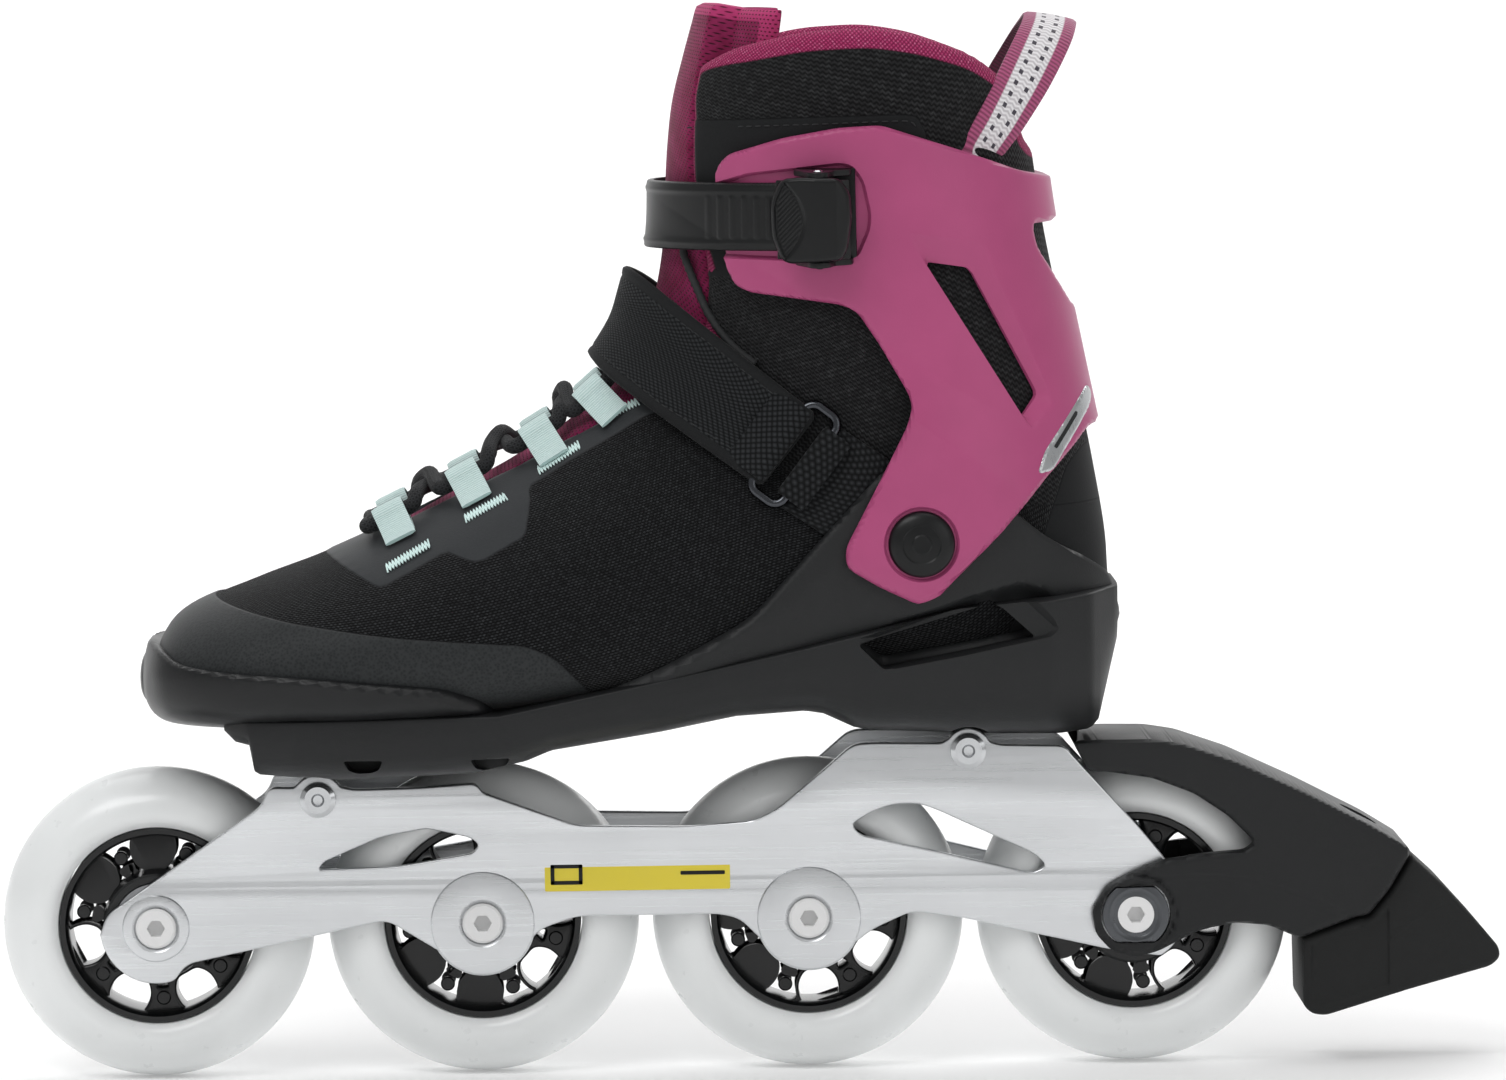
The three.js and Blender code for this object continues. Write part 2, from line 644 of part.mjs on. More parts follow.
function tongue() {
  const inner = last((s) => [-wallAt(s) - 4.5, -wallAt(s) - 4.5, -wallAt(s) - 4.5], 0, TOP, 20, 12);
  const face = last(-0.8, 0, TOP, 20, 12);
  const wing = last((s) => [-wallAt(s) - SLIP, -wallAt(s) - SLIP, -wallAt(s) - SLIP], 0, TOP, 20, 12);
  const wide = upright(
    rounded([[-72 * K, -15 * KW], [-50 * K, -26 * KW], [-10 * K, -30 * KW], [50 * K, -34 * KW],
      [50 * K, 34 * KW], [-10 * K, 30 * KW], [-50 * K, 26 * KW], [-72 * K, 15 * KW]], 0),
    125 * K, 320 * K,
  );
  const outline = side([
    [-80, 120], [-30, 128], [0, 160], [30, 185], [44, 205], [51.2, 266.8], [47.8, 269],
    [41.1, 271.6], [29.2, 273], [17.3, 274], [13, 273], [-10, 250], [-30, 200], [-80, 160],
  ]);
  const body = face.intersect(throat(0.5)).add(wing.intersect(wide)).subtract(inner);
  const cut = body.intersect(prism(rounded(outline, 0), -90, 90));
  return piece("tongue", cut, MAT.tongue);
}
tongue();

function insole() {
  const fit = last((s) => [-wallAt(s) - GAP, -wallAt(s) - GAP, -wallAt(s) - SLIP], 0, 12);
  const top = side([
    [-119, 60], [-119, 101.8], [-15, 101.8], [50, 109.4], [104, 110.4], [150, 110.4], [150, 60],
  ]);
  return piece("insole", fit.intersect(prism(top, -90, 90)), MAT.insole);
}
insole();

// ---- lace loops and lace ----
const LOOP_ROWS = [5.42, 6.35, 7.3, 8.14];
const LOOP_ANGLE = 0.37;
const LOOP_LENGTH = 8.6;
const LACE_RISE = LACE_D / 2 + 1.9;

function loopAxes(row, way) {
  const angle = Math.PI / 2 - way * LOOP_ANGLE;
  return axesAt({ s: row, angle }, 0);
}

// Webbing round the lace with a tail sewn down on the boot.
function laceLoop(name, row, way) {
  const { at, a, b } = loopAxes(row, way);
  const across = b.clone().multiplyScalar(way);
  const n = new THREE.Vector3().crossVectors(a, across).normalize();
  if (n.z < 0) n.negate();
  const bore = LACE_D / 2 + SLIP + 0.45;
  const eye = new THREE.Shape();
  const cx = 2.5;
  const outer = bore + 1;
  eye.absarc(cx, LACE_RISE, outer, 0, Math.PI * 2);
  const hole = new THREE.Path();
  hole.absarc(cx, LACE_RISE, bore, 0, Math.PI * 2, true);
  const tail = rounded([[-9, 0.2], [cx - 0.5, 0.5], [cx - 1, LACE_RISE + outer - 1], [-9, 1.7]], 0);
  const shape = (s) =>
    solid(new THREE.ExtrudeGeometry(s, { depth: LOOP_LENGTH, bevelEnabled: false, curveSegments: 5 })
      .translate(0, 0, -LOOP_LENGTH / 2));
  const round = shape(eye).add(shape(tail));
  const bored = new THREE.Shape();
  bored.absarc(cx, LACE_RISE, bore, 0, Math.PI * 2);
  const body = round.subtract(shape(bored).scale([1, 1, 1.2]));
  const z = new THREE.Vector3().crossVectors(across, n).normalize();
  const placed = place(body, across, n, z, at);
  return piece(name, placed.subtract(CLEAR), MAT.mint);
}
LOOP_ROWS.forEach((row, i) => {
  laceLoop("lace_loop_outer_" + (i + 1), row, -1);
  laceLoop("lace_loop_inner_" + (i + 1), row, 1);
});

// A round wire through the points, closed at its ends.
function wire(points, radius, around) {
  const n = points.length - 1;
  const g = new THREE.CylinderGeometry(1, 1, n, around, n);
  const p = g.getAttribute("position");
  const frames = [];
  let up = new THREE.Vector3(0, 0, 1);
  points.forEach((at, k) => {
    const before = points[Math.max(0, k - 1)];
    const after = points[Math.min(n, k + 1)];
    const run = after.clone().sub(before).normalize();
    const u = up.clone().addScaledVector(run, -up.dot(run)).normalize();
    const v = new THREE.Vector3().crossVectors(run, u);
    frames.push({ at, u, v });
    up = u;
  });
  for (let i = 0; i < p.count; i++) {
    const { at, u, v } = frames[Math.round(p.getY(i) + n / 2)];
    const q = at.clone();
    q.addScaledVector(u, p.getX(i) * radius);
    q.addScaledVector(v, p.getZ(i) * radius);
    p.setXYZ(i, q.x, q.y, q.z);
  }
  return eitherWay(g);
}

// One cord threaded up both sides, crossing over the tongue, knotted at the top.
function lace() {
  const through = (row, way) => {
    const { at, a, b } = loopAxes(row, way);
    const across = b.clone().multiplyScalar(way);
    const n = new THREE.Vector3().crossVectors(a, across).normalize();
    if (n.z < 0) n.negate();
    const c = at.clone().addScaledVector(across, 2.5).addScaledVector(n, LACE_RISE);
    const d = a.clone().multiplyScalar(LOOP_LENGTH / 2 + 2);
    return [c.clone().sub(d), c.clone().add(d)];
  };
  const middle = (s, lift) => skin(s, Math.PI / 2, lift, 0, 0);
  const knot = middle(8.95, 3.2);
  const strand = (first, lift) => {
    const points = [middle(LOOP_ROWS[0] - 0.27, 2.8)];
    LOOP_ROWS.forEach((row, i) => {
      const way = i % 2 ? -first : first;
      const [low, high] = through(row, way);
      const run = high.clone().sub(low).normalize();
      const early = points[points.length - 1].clone().lerp(low, 0.6);
      early.addScaledVector(run, -1.4);
      points.push(early, low, high);
      const next = LOOP_ROWS[i + 1];
      const after = next ? middle((row + next) / 2, lift) : knot;
      points.push(high.clone().lerp(after, 0.4).addScaledVector(run, 1.4), after);
    });
    return wire(points, LACE_D / 2, 6);
  };
  const ball = new THREE.SphereGeometry(LACE_D * 0.8, 8, 6);
  ball.translate(knot.x, knot.y, knot.z);
  const body = join([strand(-1, 3.4), strand(1, 5.6), solid(ball)]);
  return piece("lace", body, MAT.lace);
}
lace();

// ---- instep strap, ring and webbing ----
const RING_AT = sidePlace(39.5, 160, -1, 0);
const RING_RISE = 3.4;
const RING_LONG = 27;
const RING_SHORT = 9.5;

function ringAxes() {
  const { at, n } = axesAt(RING_AT, 0);
  const down = new THREE.Vector3(0.79, 0, -0.61);
  const x = down.addScaledVector(n, -down.dot(n)).normalize();
  const y = new THREE.Vector3().crossVectors(n, x).normalize();
  return { at: at.clone().addScaledVector(n, RING_RISE), x, y, n };
}

function ring() {
  const { at, x, y, n } = ringAxes();
  const w = RING_SHORT / 2;
  const l = RING_LONG / 2;
  const r = 3;
  const path = new THREE.CurvePath();
  const corners = [[w, l], [-w, l], [-w, -l], [w, -l]];
  const v = (px, py) => new THREE.Vector3(px, py, 0);
  corners.forEach(([cx, cy], i) => {
    const [qx, qy] = corners[(i + 1) % 4];
    const ux = Math.sign(qx - cx);
    const uy = Math.sign(qy - cy);
    const [wx, wy] = corners[(i + 2) % 4];
    const tx = Math.sign(wx - qx);
    const ty = Math.sign(wy - qy);
    path.add(new THREE.LineCurve3(v(cx + ux * r, cy + uy * r), v(qx - ux * r, qy - uy * r)));
    path.add(new THREE.QuadraticBezierCurve3(
      v(qx - ux * r, qy - uy * r), v(qx, qy), v(qx + tx * r, qy + ty * r)));
  });
  const points = [];
  path.curves.forEach((c, i) => {
    const steps = i % 2 ? 3 : 1;
    for (let k = 0; k < steps; k++) points.push(c.getPoint(k / steps));
  });
  // A closed wire: a torus whose rings follow the rounded rectangle.
  const g = new THREE.TorusGeometry(1, 0.1, 7, points.length);
  const p = g.getAttribute("position");
  const per = points.length + 1;
  for (let i = 0; i < p.count; i++) {
    const j = Math.floor(i / per);
    const k = i % per;
    const c = points[k % points.length];
    const before = points[(k + points.length - 1) % points.length];
    const after = points[(k + 1) % points.length];
    const t = after.clone().sub(before).normalize();
    const out = new THREE.Vector3(t.y, -t.x, 0);
    const turn = (j / 7) * Math.PI * 2;
    const q = c.clone().addScaledVector(out, (Math.cos(turn) * RING_WIRE) / 2);
    p.setXYZ(i, q.x, q.y, (Math.sin(turn) * RING_WIRE) / 2);
  }
  return piece("strap_ring", place(eitherWay(g), x, y, n, at), MAT.steel);
}
ring();

// A sleeve round one long side of the ring; end is -1 for the strap, 1 for the webbing.
function sleeve(end, length, bored) {
  const { at, x, y, n } = ringAxes();
  const r = bored ? RING_WIRE / 2 + GAP : RING_WIRE / 2 + GAP + WEB_T;
  const g = new THREE.CylinderGeometry(r, r, length, 12);
  g.translate((end * RING_SHORT) / 2, 0, 0);
  return place(solid(g), x, y, n, at);
}

function ringBox(x0, x1, y0, y1, z0, z1) {
  const { at, x, y, n } = ringAxes();
  return place(box(x0, x1, y0, y1, z0, z1), x, y, n, at);
}

function instepStrap() {
  const rise = (s) => (s > 7 && s < 12 ? 7.6 : 2);
  const outer = last((s) => [rise(s) + 2.2, 3.4, 3.2], 4, 14, 24);
  const inner = last((s) => [rise(s), 1.2, 0.9], 4, 14, 24);
  const band = outer.subtract(inner);
  const near = side([[-30, 198], [-14, 187], [31, 152], [44.6, 169.6], [0, 204.8], [-18, 214]]);
  const far = side([[-30, 198], [-14, 187], [44, 142], [60, 158], [0, 204.8], [-18, 214]]);
  const nearHalf = band.intersect(prism(near, -90, 0.01));
  const farHalf = band.intersect(prism(far, 0, 90));
  const w = RING_SHORT / 2;
  let body = nearHalf.subtract(ringBox(-w + 0.2, 40, -40, 40, -20, 20)).add(farHalf);
  body = body.add(sleeve(-1, 22, false)).add(ringBox(-w - 9, -w, -11, 11, -1, 0.8));
  body = body.subtract(sleeve(-1, 40, true)).subtract(CLEAR);
  return piece("instep_strap", largest(body), MAT.webbing);
}
instepStrap();

function ringWebbing() {
  const w = RING_SHORT / 2;
  const band = last(2.2, 6, 14, 28).subtract(last(SLIP + 0.2, 6, 14, 28));
  const outline = side([[50, 167.2], [60, 154.8], [45.6, 141.4], [35.2, 148.6]]);
  let body = band.intersect(prism(outline, -90, -10));
  body = body.subtract(ringBox(-40, w + 0.4, -40, 40, -20, 20));
  body = body.add(sleeve(1, 21, false)).add(ringBox(w, w + 5, -10.5, 10.5, -2.6, 0.6));
  body = body.subtract(sleeve(1, 40, true)).subtract(CLEAR);
  return piece("ring_webbing", body, MAT.webbing);
}

// ---- cuff ----
const cuffIn = (s) => {
  if (s <= 12.05) return SHELL_OUT + SLIP;
  if (s >= 12.9) return 0.9;
  return 0.9 + ((SHELL_OUT + SLIP - 0.9) * (12.9 - s)) / 0.85;
};

const CUFF_SIDE = side([
  [19.5, 229], [20.1, 233], [22.9, 236.1], [36.6, 240.1], [51, 242.5], [62, 243], [84.5, 235.8],
  [98, 231], [112, 228], [112, 217.5], [101, 217.5], [102, 212], [112, 196], [128, 190],
  [128, 165], [115.9, 165.8], [103.3, 153.3], [91.1, 139.9], [78.9, 128], [75.3, 124.1],
  [70, 122], [59.8, 127.1], [52, 132], [51.8, 137], [60.1, 153.1], [67.5, 167.4], [68.8, 172.1],
  [68, 175.3], [60.6, 188.2], [55.2, 196.3], [51.2, 198.1], [28, 201.1], [24.1, 203.1], [21.6, 209],
]);

const RECESS = side([
  [10, 207.8], [51.6, 207.2], [57.4, 209], [59.8, 217], [59.8, 224], [58.4, 230.5],
  [55.6, 235], [51.6, 235.6], [38, 234], [28.4, 231.5], [10, 229.6],
]);

function cuffLayer(extra) {
  const grow = (s) => [0.9 + extra * 0.3, cuffIn(s) + extra, cuffIn(s) + extra];
  return last(grow, 8, TOP, 24);
}

function cuff() {
  const solidLayer = cuffLayer(CUFF_WALL).subtract(cuffLayer(0));
  let body = solidLayer.intersect(prism(CUFF_SIDE, -90, 90));
  const flat = box(40 * K, 108 * K, -SHELL_HALF - SLIP, SHELL_HALF + SLIP, 100 * K, 160 * K);
  body = body.subtract(flat);
  const window = side([[72.6, 208.7], [84.5, 207], [102.2, 174.7], [97.6, 168.8]]);
  body = body.subtract(prism(window, -90, -12));
  body = body.subtract(prism(window, 12, 90));
  const recess = prism(RECESS, -90, -15).subtract(cuffLayer(RECESS_WALL));
  body = body.subtract(recess);
  body = body.subtract(pivotHole(4 + SLIP));
  const face = 36.5 * KW + SHELL_OUT + SLIP + CUFF_WALL - 1.3;
  body = body.subtract(rod(PIVOT[0], PIVOT[1], 8.9, -90, -face, 20));
  body = body.subtract(rod(PIVOT[0], PIVOT[1], 8.9, face, 90, 20));
  return body;
}

const ANCHOR = sidePlace(31, 220.5, 1, 0);
const anchor = axesAt(ANCHOR, 0);

// A straight cylinder out of the skin at the strap's anchor.
function anchorRod(radius, from, to, segments = 12) {
  const g = new THREE.CylinderGeometry(radius, radius, to - from, segments);
  g.translate(0, (from + to) / 2, 0);
  const up = anchor.n;
  const x = new THREE.Vector3().crossVectors(up, new THREE.Vector3(0, 0, 1)).normalize();
  const z = new THREE.Vector3().crossVectors(x, up).normalize();
  return place(solid(g), x, up, z, anchor.at);
}

const cuffBody = cuff().subtract(anchorRod(2.1 + GAP, -20, 20));
piece("cuff", cuffBody, MAT.cuff);
ringWebbing();

// Pivot bolts through the cuff and the shell, with a round cap outside.
function pivotBolt(name, way) {
  const inner = 36.5 * KW + SLIP + 0.6;
  const face = 36.5 * KW + SHELL_OUT + SLIP + CUFF_WALL - 1.3 + GAP;
  const half = [
    [0, inner], [4, inner], [4, face], [8.4, face], [8.4, face + 1.1], [7.2, face + 2], [0, face + 2.4],
  ];
  const profile = way > 0 ? half : half.map(([r, y]) => [r, -y]).reverse();
  return piece(name, turned(PIVOT[0], PIVOT[1], profile, 20), MAT.black);
}
pivotBolt("pivot_bolt_outer", -1);
pivotBolt("pivot_bolt_inner", 1);

// ---- ladder strap and its screw ----
const STRAP_LOW = 211.8;
const STRAP_HIGH = 229.1;
function ladderStrap() {
  const low = (s) => cuffIn(s) + CUFF_WALL + 0.35;
  const high = (s) => low(s) + STRAP_T;
  const outer = last((s) => [4.2, high(s), high(s)], 10, TOP, 24);
  const inner = last((s) => [2.4, low(s), low(s)], 10, TOP, 24);
  const reach = side([[-20, STRAP_LOW], [49, STRAP_LOW], [49, STRAP_HIGH], [-20, STRAP_HIGH]]);
  const back = side([[-20, STRAP_LOW], [37, STRAP_LOW], [37, STRAP_HIGH], [-20, STRAP_HIGH]]);
  const band = outer.subtract(inner);
  let body = band.intersect(prism(reach, -90, 0.01)).add(band.intersect(prism(back, 0, 90)));
  body = body.subtract(anchorRod(2.1 + GAP, -20, 20));
  return piece("ladder_strap", body, MAT.black);
}
ladderStrap();

function anchorScrew() {
  const shank = anchorRod(2.1, 1.6, 8);
  const head = anchorRod(4.6, 6.8, 8.4, 14);
  return piece("ladder_anchor_screw", shank.add(head), MAT.steel);
}
anchorScrew();

// ---- buckle ----
const BUCKLE = axesAt(sidePlace(46.5, 220.6, -1, 0), 0);
const buckleUp = new THREE.Vector3(0, 0, 1).addScaledVector(BUCKLE.n, -BUCKLE.n.z).normalize();
const buckleX = new THREE.Vector3().crossVectors(buckleUp, BUCKLE.n).normalize();
const PIN_X = 1;
const PIN_RISE = 11;
const PIN_R = 1.3;
const LEVER_HALF = ((STRAP_HIGH - STRAP_LOW) / 2) * K + 1.55;

// A shape drawn in (along, out), extruded up the buckle's height.
function buckleBar(shape, low, high, steps = 2) {
  const g = new THREE.ExtrudeGeometry(shape, {
    depth: high - low,
    bevelEnabled: false,
    curveSegments: steps,
  });
  g.translate(0, 0, low);
  return place(solid(g), buckleX, BUCKLE.n, buckleUp.clone().negate(), BUCKLE.at);
}

function buckleBase() {
  const floor = rounded([[-2.5, 2.65], [9.2, 2.65], [9.2, 3.45], [-2.5, 3.45]], 0);
  const cheek = rounded([[-6, 2.65], [8.4, 2.65], [8.6, 8], [4.5, 13.4], [-2.5, 13.4], [-6, 8]], 0);
  const half = LEVER_HALF + GAP;
  const parts = [
    buckleBar(floor, -half - 1.5, half + 1.5),
    buckleBar(cheek, half, half + 1.5),
    buckleBar(cheek, -half - 1.5, -half),
  ];
  const hole = new THREE.Shape();
  hole.absarc(PIN_X, PIN_RISE, PIN_R + GAP, 0, Math.PI * 2);
  const body = join(parts).subtract(buckleBar(hole, -20, 20, 5)).subtract(cuffLayer(RECESS_WALL + GAP));
  return piece("buckle_base", body, MAT.black);
}
buckleBase();

function buckleLever() {
  const outline = [
    [-10.6, 9.6], [-10.9, 11.6], [-6, 13.6], [0.5, 15], [6, 14.4], [9.6, 12.2], [9.2, 11.2],
    [4.4, 9.4], [2.2, 7.4], [-0.6, 7.4], [-4, 8.8],
  ];
  const hole = new THREE.Shape();
  hole.absarc(PIN_X, PIN_RISE, PIN_R + GAP, 0, Math.PI * 2);
  const body = buckleBar(rounded(outline, 0), -LEVER_HALF, LEVER_HALF);
  return piece("buckle_lever", body.subtract(buckleBar(hole, -20, 20, 5)), MAT.black);
}
buckleLever();

function bucklePin() {
  const disc = new THREE.Shape();
  disc.absarc(PIN_X, PIN_RISE, PIN_R, 0, Math.PI * 2);
  const half = LEVER_HALF + GAP + 1.9;
  return piece("buckle_pin", buckleBar(disc, -half, half, 6), MAT.steel);
}
bucklePin();

// ---- pull loop ----
function pullLoop() {
  const near = [
    [88, -30.4, 236.4, 0.72, 0.62, -0.3],
    [93, -28.6, 244, 0.78, 0.5, -0.32],
    [99.5, -23, 255, 0.9, 0.3, -0.26],
    [105, -13, 265, 0.97, 0.12, -0.2],
  ];
  const rows = [...near, [106.8, 0, 269, 0.98, 0, -0.18]];
  const far = near.map(([x, y, z, a, b, c]) => [x, -y, z, a, -b, c]).reverse();
  const all = [...rows, ...far];
  const n = all.length - 1;
  const half = 6.8;
  const g = new THREE.BoxGeometry(1, 1, n, 1, 1, n);
  const p = g.getAttribute("position");
  const at = (k) => {
    const [x, y, z] = all[Math.max(0, Math.min(n, k))];
    return new THREE.Vector3(x * K, y * KW, z * K);
  };
  for (let i = 0; i < p.count; i++) {
    const k = Math.round(p.getZ(i) + n / 2);
    const [, , , a, b, c] = all[k];
    const w = new THREE.Vector3(a, b, c).normalize();
    const run = at(k + 1).sub(at(k - 1)).normalize();
    const n3 = new THREE.Vector3().crossVectors(run, w).normalize();
    const q = at(k).addScaledVector(w, p.getX(i) * 2 * half);
    q.addScaledVector(n3, p.getY(i) * WEB_T);
    p.setXYZ(i, q.x, q.y, q.z);
  }
  let body = eitherWay(g);
  body = body.subtract(last(0.35, 12, TOP)).subtract(cuffLayer(CUFF_WALL + GAP).intersect(
    prism(CUFF_SIDE, -90, 90)));
  return piece("pull_loop", largest(body), MAT.loop);
}
pullLoop();

// ---- heel brake ----
const ARM_SIDE = side([
  [109.5, 84.6], [118.5, 85.2], [130, 85], [137.9, 83.7], [151.1, 79.1], [168.6, 70.9],
  [186.1, 61.8], [195.4, 56], [195.6, 54.6], [190.3, 45.4], [184.9, 38.9], [182, 38.5],
  [168.1, 33.4], [166, 33.6], [159.3, 36.6], [150.5, 37.4], [141.6, 35.5], [136.3, 33],
  [131, 30.3], [125, 28.8], [119, 30.6], [115, 35], [114.2, 41], [117.9, 47.4], [124.2, 50.8],
  [133, 54], [143.7, 55.4], [153.4, 56.1], [155.6, 57.9], [154.7, 59.4], [149.1, 65],
  [140.4, 70.9], [129.8, 75], [118.3, 76.8], [113.6, 76.9],
]);
const ARM_HALF = 19.6;
const SCREW_X = 184 * K;

// The adapter that keeps the arm from turning on the axle.
function adapterShape(grow) {
  const r = 8.5 + grow;
  const f = 7 + grow;
  const disc = rod(AXLE_X[3], AXLE_Z, r, -40, 40, 16);
  return disc.intersect(box(AXLE_X[3] - 20, AXLE_X[3] + 20, -40, 40, AXLE_Z - f, AXLE_Z + f));
}

function brakeArm() {
  let body = prism(ARM_SIDE, -ARM_HALF, ARM_HALF);
  const inside = RAIL_OUT + GAP;
  const wheel = rod(AXLE_X[3], AXLE_Z, WHEEL_R + 1.8, -14.2, 14.2, 24);
  const fork = box(90 * K, 158 * K, -inside, inside, 0, 60 * K);
  body = body.subtract(wheel).subtract(fork);
  const rails = prism(RAIL_SIDE, -ARM_HALF - 1, ARM_HALF + 1);
  const above = box(90 * K, 140 * K, -40, 40, 60 * K, 90 * K);
  const shifted = rails.translate([0.5, 0, 0.4]).intersect(above);
  body = body.subtract(shifted).subtract(adapterShape(GAP));
  body = body.subtract(box(90 * K, 112.6 * K, -40, 40, 70 * K, 90 * K));
  const hole = new THREE.CylinderGeometry(2.5 + GAP, 2.5 + GAP, 80, 12).rotateX(Math.PI / 2);
  const sink = new THREE.CylinderGeometry(4.8, 4.8, 20, 14).rotateX(Math.PI / 2);
  body = body.subtract(solid(hole.translate(SCREW_X, 0, 40 * K)));
  body = body.subtract(solid(sink.translate(SCREW_X, 0, 56 * K + 10)));
  return piece("brake_arm", body, MAT.shell);
}
brakeArm();

function adapter(name, way) {
  const low = RAIL_OUT + GAP;
  const high = ARM_HALF + 0.1;
  const span = way > 0 ? [low, high] : [-high, -low];
  const seat = way > 0 ? [BRAKE_FACE - GAP, 30] : [-30, -BRAKE_FACE + GAP];
  let body = adapterShape(0).intersect(box(0, BIG, span[0], span[1], 0, 80));
  body = body.subtract(rod(AXLE_X[3], AXLE_Z, AXLE_D / 2 + GAP, -40, 40, 16));
  body = body.subtract(rod(AXLE_X[3], AXLE_Z, 6.4, seat[0], seat[1], 16));
  return piece(name, body, MAT.steel);
}
adapter("brake_adapter_outer", -1);
adapter("brake_adapter_inner", 1);

function brakePad() {
  const outline = side([
    [197.3, 52.6], [204.5, 45.9], [213.3, 36], [218.5, 29.7], [218.9, 27], [216.6, 24.8],
    [195.3, 19], [173.9, 12.6], [170.4, 13.1], [168.2, 15.3], [167.9, 30.4], [167.9, 32.9],
    [182.1, 37.9], [185.1, 38.1], [190.7, 45], [196.3, 54],
  ]);
  let body = prism(outline, -16.5, 16.5);
  const hole = new THREE.CylinderGeometry(2.5 + GAP, 2.5 + GAP, 30, 12).rotateX(Math.PI / 2);
  body = body.subtract(solid(hole.translate(SCREW_X, 0, 26 * K + 15)));
  return piece("brake_pad", body, MAT.rubber);
}
brakePad();

function padScrew() {
  const top = 56 * K + GAP;
  const g = [
    [0, 26 * K + GAP], [2.5, 26 * K + GAP], [2.5, top], [4.4, top], [4.4, top + 2.6], [0, top + 2.6],
  ].map(([r, y]) => new THREE.Vector2(r, y));
  const lathe = new THREE.LatheGeometry(g, 12).rotateX(Math.PI / 2).translate(SCREW_X, 0, 0);
  return piece("brake_pad_screw", solid(lathe), MAT.steel);
}
padScrew();

// The group's origin is under the middle of the skate's bounding box, on the ground.
const bounds = new THREE.Box3().setFromObject(group);
const root = new THREE.Group();
group.position.set(
  -(bounds.min.x + bounds.max.x) / 2,
  -(bounds.min.y + bounds.max.y) / 2,
  -bounds.min.z,
);
root.add(group);

export default root;
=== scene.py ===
# Inline skate, left foot: the looks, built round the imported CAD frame.
# Pieces are drawn in millimetres in a frame with the wheels' middle at x = 0 and the outer side
# at -y. place() and SHIFT take them to the part's own frame, in metres.
#
# The boot is one table of sections, LAST. field() builds a wall on it: boot, shell, cuff, straps.
# Angles round a section: pi is the outer side, 0 the inner side, pi / 2 the top or front.
import json
import math

import bmesh
import bpy
import numpy as np
from mathutils import Matrix, Vector

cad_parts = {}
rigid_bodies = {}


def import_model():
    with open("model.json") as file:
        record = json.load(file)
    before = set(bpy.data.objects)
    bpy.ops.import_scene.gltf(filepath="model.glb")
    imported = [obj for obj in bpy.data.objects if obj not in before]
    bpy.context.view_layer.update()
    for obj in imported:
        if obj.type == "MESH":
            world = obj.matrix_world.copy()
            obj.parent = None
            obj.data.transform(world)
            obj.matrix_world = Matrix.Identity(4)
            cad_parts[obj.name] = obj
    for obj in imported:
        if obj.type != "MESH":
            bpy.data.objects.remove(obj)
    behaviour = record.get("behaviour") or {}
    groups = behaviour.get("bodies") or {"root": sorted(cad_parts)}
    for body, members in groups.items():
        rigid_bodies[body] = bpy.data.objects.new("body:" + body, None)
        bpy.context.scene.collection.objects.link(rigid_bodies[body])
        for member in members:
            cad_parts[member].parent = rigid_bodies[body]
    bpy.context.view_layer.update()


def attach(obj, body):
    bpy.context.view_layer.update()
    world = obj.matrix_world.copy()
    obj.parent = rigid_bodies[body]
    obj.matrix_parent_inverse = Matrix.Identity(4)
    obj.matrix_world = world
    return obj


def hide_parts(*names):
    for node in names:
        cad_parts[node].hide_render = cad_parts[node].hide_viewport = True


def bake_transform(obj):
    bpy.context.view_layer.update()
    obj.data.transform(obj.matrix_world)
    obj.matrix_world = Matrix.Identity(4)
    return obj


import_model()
SHIFT = np.array([-26.971, 1.422, 0.0])
PI = math.pi


def place(points):
    return (np.asarray(points, float) + SHIFT) * 0.001


# ---- camera ----
cam = bpy.data.objects.new("camera", bpy.data.cameras.new("camera"))
bpy.context.scene.collection.objects.link(cam)
eye = Vector(place([2.3, -1900, 292]))
aim = Vector(place([29, 0, 136]))
cam.location = eye
cam.rotation_mode = "QUATERNION"
turn = (aim - eye).to_track_quat("-Z", "Y")
cam.rotation_quaternion = turn @ Matrix.Rotation(math.radians(-0.82), 4, "Z").to_quaternion()
cam.data.lens = 177.4
cam.data.sensor_width = 36
cam.data.clip_end = 30
bpy.context.scene.camera = cam

